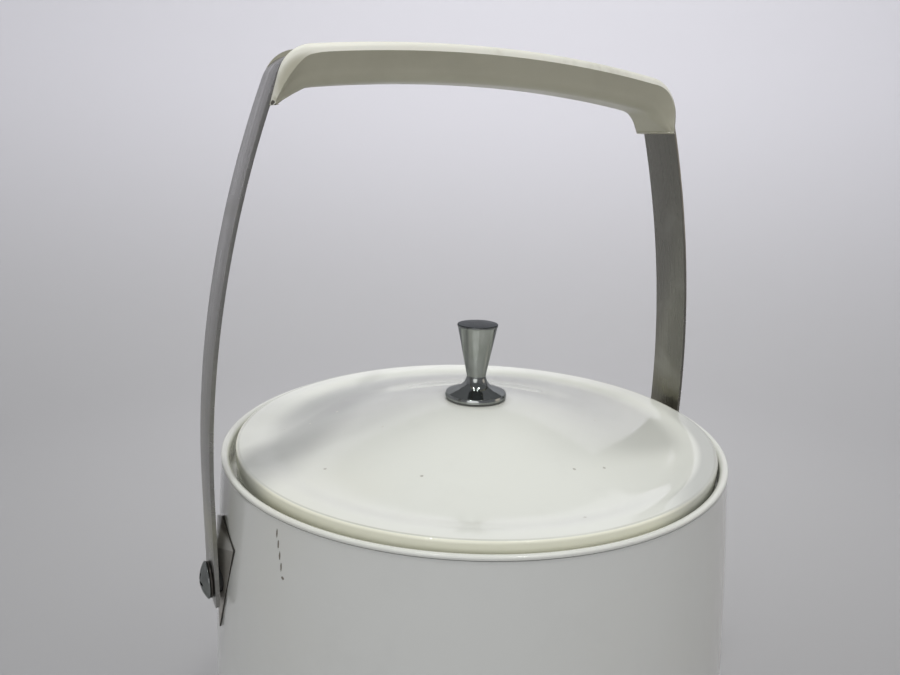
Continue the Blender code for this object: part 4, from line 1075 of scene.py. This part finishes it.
def build_grip(material):
    upper, lower = grip_lines()
    shape = bmesh.new()
    rings = []
    for top, bottom in zip(upper, lower):
        top, bottom = Vector(top), Vector(bottom)
        depth = (bottom - top).length
        way = (bottom - top) / depth
        end = GRIP_RIGHT_END if top.x > 0 else GRIP_LEFT_END
        bulge = cos(pi / 2 * min(1.0, abs(top.x) / end["x"])) ** 0.6
        flare = end["flare"] * exp(-((abs(top.x) - GRIP_FLARE_X) / GRIP_FLARE_SPREAD) ** 2)
        half = GRIP_END_HALF_WIDTH + (GRIP_HALF_WIDTH - GRIP_END_HALF_WIDTH) * bulge
        section = grip_section(depth, half, flare)
        section += [(-y, down) for y, down in reversed(section[1:-1])]
        ring = []
        for y, down in section:
            point = top + way * down
            ring.append(shape.verts.new((point.x, y, point.y)))
        rings.append(ring)
    for ring_a, ring_b in zip(rings, rings[1:]):
        count = len(ring_a)
        for i in range(count):
            j = (i + 1) % count
            shape.faces.new((ring_a[i], ring_a[j], ring_b[j], ring_b[i]))
    shape.faces.new(rings[0])
    shape.faces.new(reversed(rings[-1]))
    bmesh.ops.recalc_face_normals(shape, faces=shape.faces)
    mesh = bpy.data.meshes.new("grip")
    shape.to_mesh(mesh)
    shape.free()
    channel = channel_mesh()
    mesh = cut_mesh(mesh, [channel])
    mesh.transform(handle_place())
    piece("moulded_grip", smooth(mesh, 40), material, "handle", "grip_ivory", "handle_grip")


def channel_mesh():
    """The strap's bed in the grip: all that lies outside the strap's inner face, as wide as the strap."""
    inner = whole_path(-STRAP_THICKNESS - 0.0002)
    outline = inner + list(reversed(whole_path(CHANNEL_DEPTH)))
    shape = bmesh.new()
    face = shape.faces.new([shape.verts.new((x, -GRIP_SLOT_HALF, z)) for x, z in outline])
    raised = bmesh.ops.extrude_face_region(shape, geom=[face])
    moved = [part for part in raised["geom"] if isinstance(part, bmesh.types.BMVert)]
    bmesh.ops.translate(shape, verts=moved, vec=(0.0, 2 * GRIP_SLOT_HALF, 0.0))
    bmesh.ops.recalc_face_normals(shape, faces=shape.faces)
    mesh = bpy.data.meshes.new("channel")
    shape.to_mesh(mesh)
    shape.free()
    return mesh


# ---------------------------------------------------------------- pivots
def build_escutcheon(side, material):
    """Kite-shaped pyramid plate that follows the wall, its four facets meeting at a peak."""
    shape = bmesh.new()
    side_z = PLATE_TOP_Z - PLATE_SIDE_DROP
    peak_z = PLATE_TOP_Z - PLATE_PEAK_DROP
    half = PLATE_HALF_WIDTH
    corners = [(0.0, PLATE_TOP_Z), (half, side_z), (0.0, PLATE_BOTTOM_Z), (-half, side_z)]
    peak = shape.verts.new((wall_radius(peak_z) + PLATE_PEAK, 0.0, peak_z))
    edge, root = [], []
    for y, z in corners:
        reach = sqrt((wall_radius(z) + GAP) ** 2 - y ** 2)
        edge.append(shape.verts.new((reach + PLATE_EDGE, y, z)))
        root.append(shape.verts.new((reach - PLATE_ROOT, y, z)))
    for i in range(4):
        j = (i + 1) % 4
        shape.faces.new((peak, edge[i], edge[j]))
        shape.faces.new((edge[i], root[i], root[j], edge[j]))
    shape.faces.new(root)
    bmesh.ops.recalc_face_normals(shape, faces=shape.faces)
    mesh = bpy.data.meshes.new("escutcheon")
    shape.to_mesh(mesh)
    shape.free()
    low = RIM_Z - BELLY_DROP
    inside = [(0.0, RIM_Z)] + wall_points(GAP / 2, RIM_Z, low, 60) + [(0.0, low)]
    bore = rod_mesh("bore", (SPACER_HIGH.y - SPACER_LOW.y) / 2 + GAP, DRILL_LOW, DRILL_HIGH)
    bore.transform(Matrix.Translation((0.0, 0.0, PIVOT_Z)) @ Matrix.Rotation(pi / 2, 4, "Y"))
    mesh = bevelled(mesh, PLATE_BEVEL, 2, 8)
    mesh = cut_mesh(mesh, [turned_mesh("inside", inside), bore])
    if side < 0:
        mesh.transform(Matrix.Rotation(pi, 4, "Z"))
    name = side_name(side)
    piece(f"kite_plate_{name}", smooth(mesh, 6), material, "bucket", "chrome", f"escutcheon_{name}")


def build_ring(name, node, inner, low, high, side, material, slot, edge=0.00015):
    """A ring about the pivot between two distances from the centre plane, its edges broken."""
    outer = {"spacer": SPACER_HIGH.y, "washer": WASHER_HIGH.y}[name]
    corners = [(inner, high, 0.0), (outer, high, edge), (outer, low, edge), (inner, low, 0.0)]
    mesh = turned_mesh(name, rounded(corners, closed=True), closed=True, steps=SMALL_STEPS)
    mesh.transform(along_x(side))
    where = side_name(side)
    piece(f"{name}_ring_{where}", mesh, material, "bucket", slot, f"{node}_{where}")


def build_screw(side, material):
    """Domed head with a cross recess, and a plain shank."""
    head_in = WASHER_HIGH.x + GAP
    head_out, tip = HEAD_HIGH.x, HEAD_LOW.x
    dome = head_out - head_in - 0.0004
    dome_radius = (SCREW_HEAD_RADIUS ** 2 + dome ** 2) / (2 * dome)
    spread = asin(SCREW_HEAD_RADIUS / dome_radius) * 180 / pi
    line = plain(arc((0.0, head_out - dome_radius), dome_radius, 90, 90 - spread, 16)[:-1])
    line += [(SCREW_HEAD_RADIUS, head_out - dome, 0.0001), (SCREW_HEAD_RADIUS, head_in, 0.0002)]
    line += [(SCREW_SHANK_RADIUS, head_in, 0.0), (SCREW_SHANK_RADIUS, tip, 0.0003), (0.0, tip, 0.0)]
    line[0] = (0.0, line[0][1], 0.0)
    mesh = turned_mesh("screw", rounded(line), steps=SMALL_STEPS)
    blades = []
    for size in ((RECESS_LENGTH, RECESS_WIDTH), (RECESS_WIDTH, RECESS_LENGTH)):
        blade = box_mesh("blade", (*size, 2 * RECESS_DEPTH))
        blade.transform(Matrix.Translation((0.0, 0.0, head_out)))
        blades.append(blade)
    mesh = cut_mesh(mesh, blades)
    mesh.transform(along_x(side))
    where = side_name(side)
    piece(f"screw_{where}", smooth(mesh), material, "bucket", "chrome", f"pivot_screw_{where}")


def build_pivots(chrome, plate, dark, nylon):
    bore = SCREW_SHANK_RADIUS + GAP
    for side in (-1, 1):
        build_escutcheon(side, plate)
        build_ring("spacer", "pivot_spacer", bore, SPACER_LOW.x, SPACER_HIGH.x, side, nylon, "black_nylon")
        build_ring("washer", "pivot_washer", bore, WASHER_LOW.x, WASHER_HIGH.x, side, dark, "dark_steel")
        build_screw(side, chrome)


def dress_hidden_nodes(materials):
    """Better materials for the small and inner CAD nodes that keep their own shape."""
    for name, material in materials.items():
        data = frame["nodes"][name].data
        data.materials.clear()
        data.materials.append(material)


# ---------------------------------------------------------------- stage, lights and camera
def build_stage():
    """A floor that sweeps up into a round backdrop, with painted shade: grey low down, lightening to pale
    lavender up the backdrop.
    """
    surface = Surface("backdrop_paper", (0.37, 0.37, 0.37), 0.85)
    # Painted shade: darker grey low down, rising to pale lavender up the backdrop.
    surface.paint(surface.remap(surface.z, -0.10, 0.52), (0.572, 0.570, 0.597))
    profile = [(0.0, 0.0), (0.6, 0.0)]
    profile += [(0.7 + 0.6 * sin(radians(a)), 0.6 - 0.6 * cos(radians(a))) for a in range(0, 91, 6)]
    profile.append((1.3, 1.0))
    mesh = turned_mesh("sweep", profile, steps=96)
    mesh.materials.append(surface.done())
    loose_object("sweep", mesh)


def area_light(name, place, target, size, power, color=(1.0, 1.0, 1.0), mirrored=True):
    light = bpy.data.lights.new(name, "AREA")
    light.shape = "DISK"
    light.size = size
    light.energy = power
    light.color = color
    item = bpy.data.objects.new(name, light)
    bpy.context.scene.collection.objects.link(item)
    item.location = place
    item.rotation_euler = (Vector(target) - Vector(place)).to_track_quat("-Z", "Y").to_euler()
    item.visible_camera = False
    item.visible_glossy = mirrored


def build_lights():
    area_light("near_softbox", (-0.05, -0.18, 0.85), (0.0, 0.0, 0.2), 0.45, 1.3, SOFT_WHITE, False)
    area_light("front_fill", (-0.70, -0.85, 0.35), (0.0, 0.0, 0.10), 0.9, 3.2)
    area_light("overhead_softbox", (0.05, 0.15, 1.45), (0.0, 0.05, 0.2), 1.3, 5.0, SOFT_WHITE, False)
    area_light("lamp_left", (-0.34, -0.16, 1.30), (0.0, 0.0, 0.2), 0.07, 1.2)
    area_light("lamp_right", (0.10, -0.40, 1.30), (0.0, 0.0, 0.2), 0.07, 1.2)
    area_light("backdrop_wash", (0.20, 0.20, 0.90), (0.60, 1.10, 0.55), 0.6, 9.5, (0.98, 0.97, 1.0))
    area_light("warm_side", (0.80, -0.45, 0.35), (0.0, 0.0, 0.1), 0.4, 0.30, (1.0, 0.86, 0.70))
    world = bpy.data.worlds.new("studio")
    world.use_nodes = True
    world.node_tree.nodes["Background"].inputs["Color"].default_value = (0.93, 0.95, 1.0, 1.0)
    world.node_tree.nodes["Background"].inputs["Strength"].default_value = 0.22
    bpy.context.scene.world = world
    bpy.context.scene.view_settings.view_transform = "Standard"


def build_camera():
    """A phone's wide lens, above the rim's height, in front and to the left of the bucket."""
    turn, pitch, roll = radians(CAMERA_TURN), radians(CAMERA_PITCH), radians(CAMERA_ROLL)
    forward = Vector((sin(turn) * cos(pitch), cos(turn) * cos(pitch), -sin(pitch)))
    across = Vector((cos(turn), -sin(turn), 0.0))
    above = across.cross(forward)
    x_axis = cos(roll) * across + sin(roll) * above
    y_axis = cos(roll) * above - sin(roll) * across
    data = bpy.data.cameras.new("camera")
    data.lens = CAMERA_LENS
    data.sensor_width = 36.0
    data.clip_start = 0.01
    camera = bpy.data.objects.new("camera", data)
    bpy.context.scene.collection.objects.link(camera)
    place = Matrix((x_axis, y_axis, -forward)).transposed().to_4x4()
    camera.matrix_world = Matrix.Translation(CAMERA_PLACE) @ place
    bpy.context.scene.camera = camera


def build():
    chrome = chrome_material()
    dark = metal("dark_steel_ring", (0.13, 0.12, 0.11), 0.38, (0.07, 0.06, 0.05))
    zinc = metal("zinc_plate", (0.46, 0.46, 0.44), 0.32, (0.33, 0.32, 0.28))
    nylon = dull_plastic("black_nylon_moulding", (0.030, 0.030, 0.030), 0.50, 700.0)
    rubber = dull_plastic("black_rubber", (0.040, 0.040, 0.040), 0.80, 500.0)
    grey = dull_plastic("grey_base_plastic", (0.30, 0.30, 0.29), 0.50, 900.0)
    foam = foam_material()
    liner = liner_material()
    build_shell(shell_material())
    build_liner(liner)
    build_base(grey, rubber)
    build_lid(lid_material(), liner)
    build_knob(chrome)
    build_strap(strap_material())
    build_grip(grip_material())
    build_pivots(chrome, plate_material(), dark, nylon)
    hidden = {"insulation_foam": foam, "lid_foam": foam, "knob_screw": zinc, "knob_washer": zinc}
    for side in ("left", "right"):
        hidden[f"backing_plate_{side}"] = zinc
        hidden[f"pivot_nut_{side}"] = zinc
    for index in range(BASE_SCREW_COUNT):
        hidden[f"base_screw_{index + 1}"] = zinc
    dress_hidden_nodes(hidden)
    build_stage()
    build_lights()
    build_camera()


build()
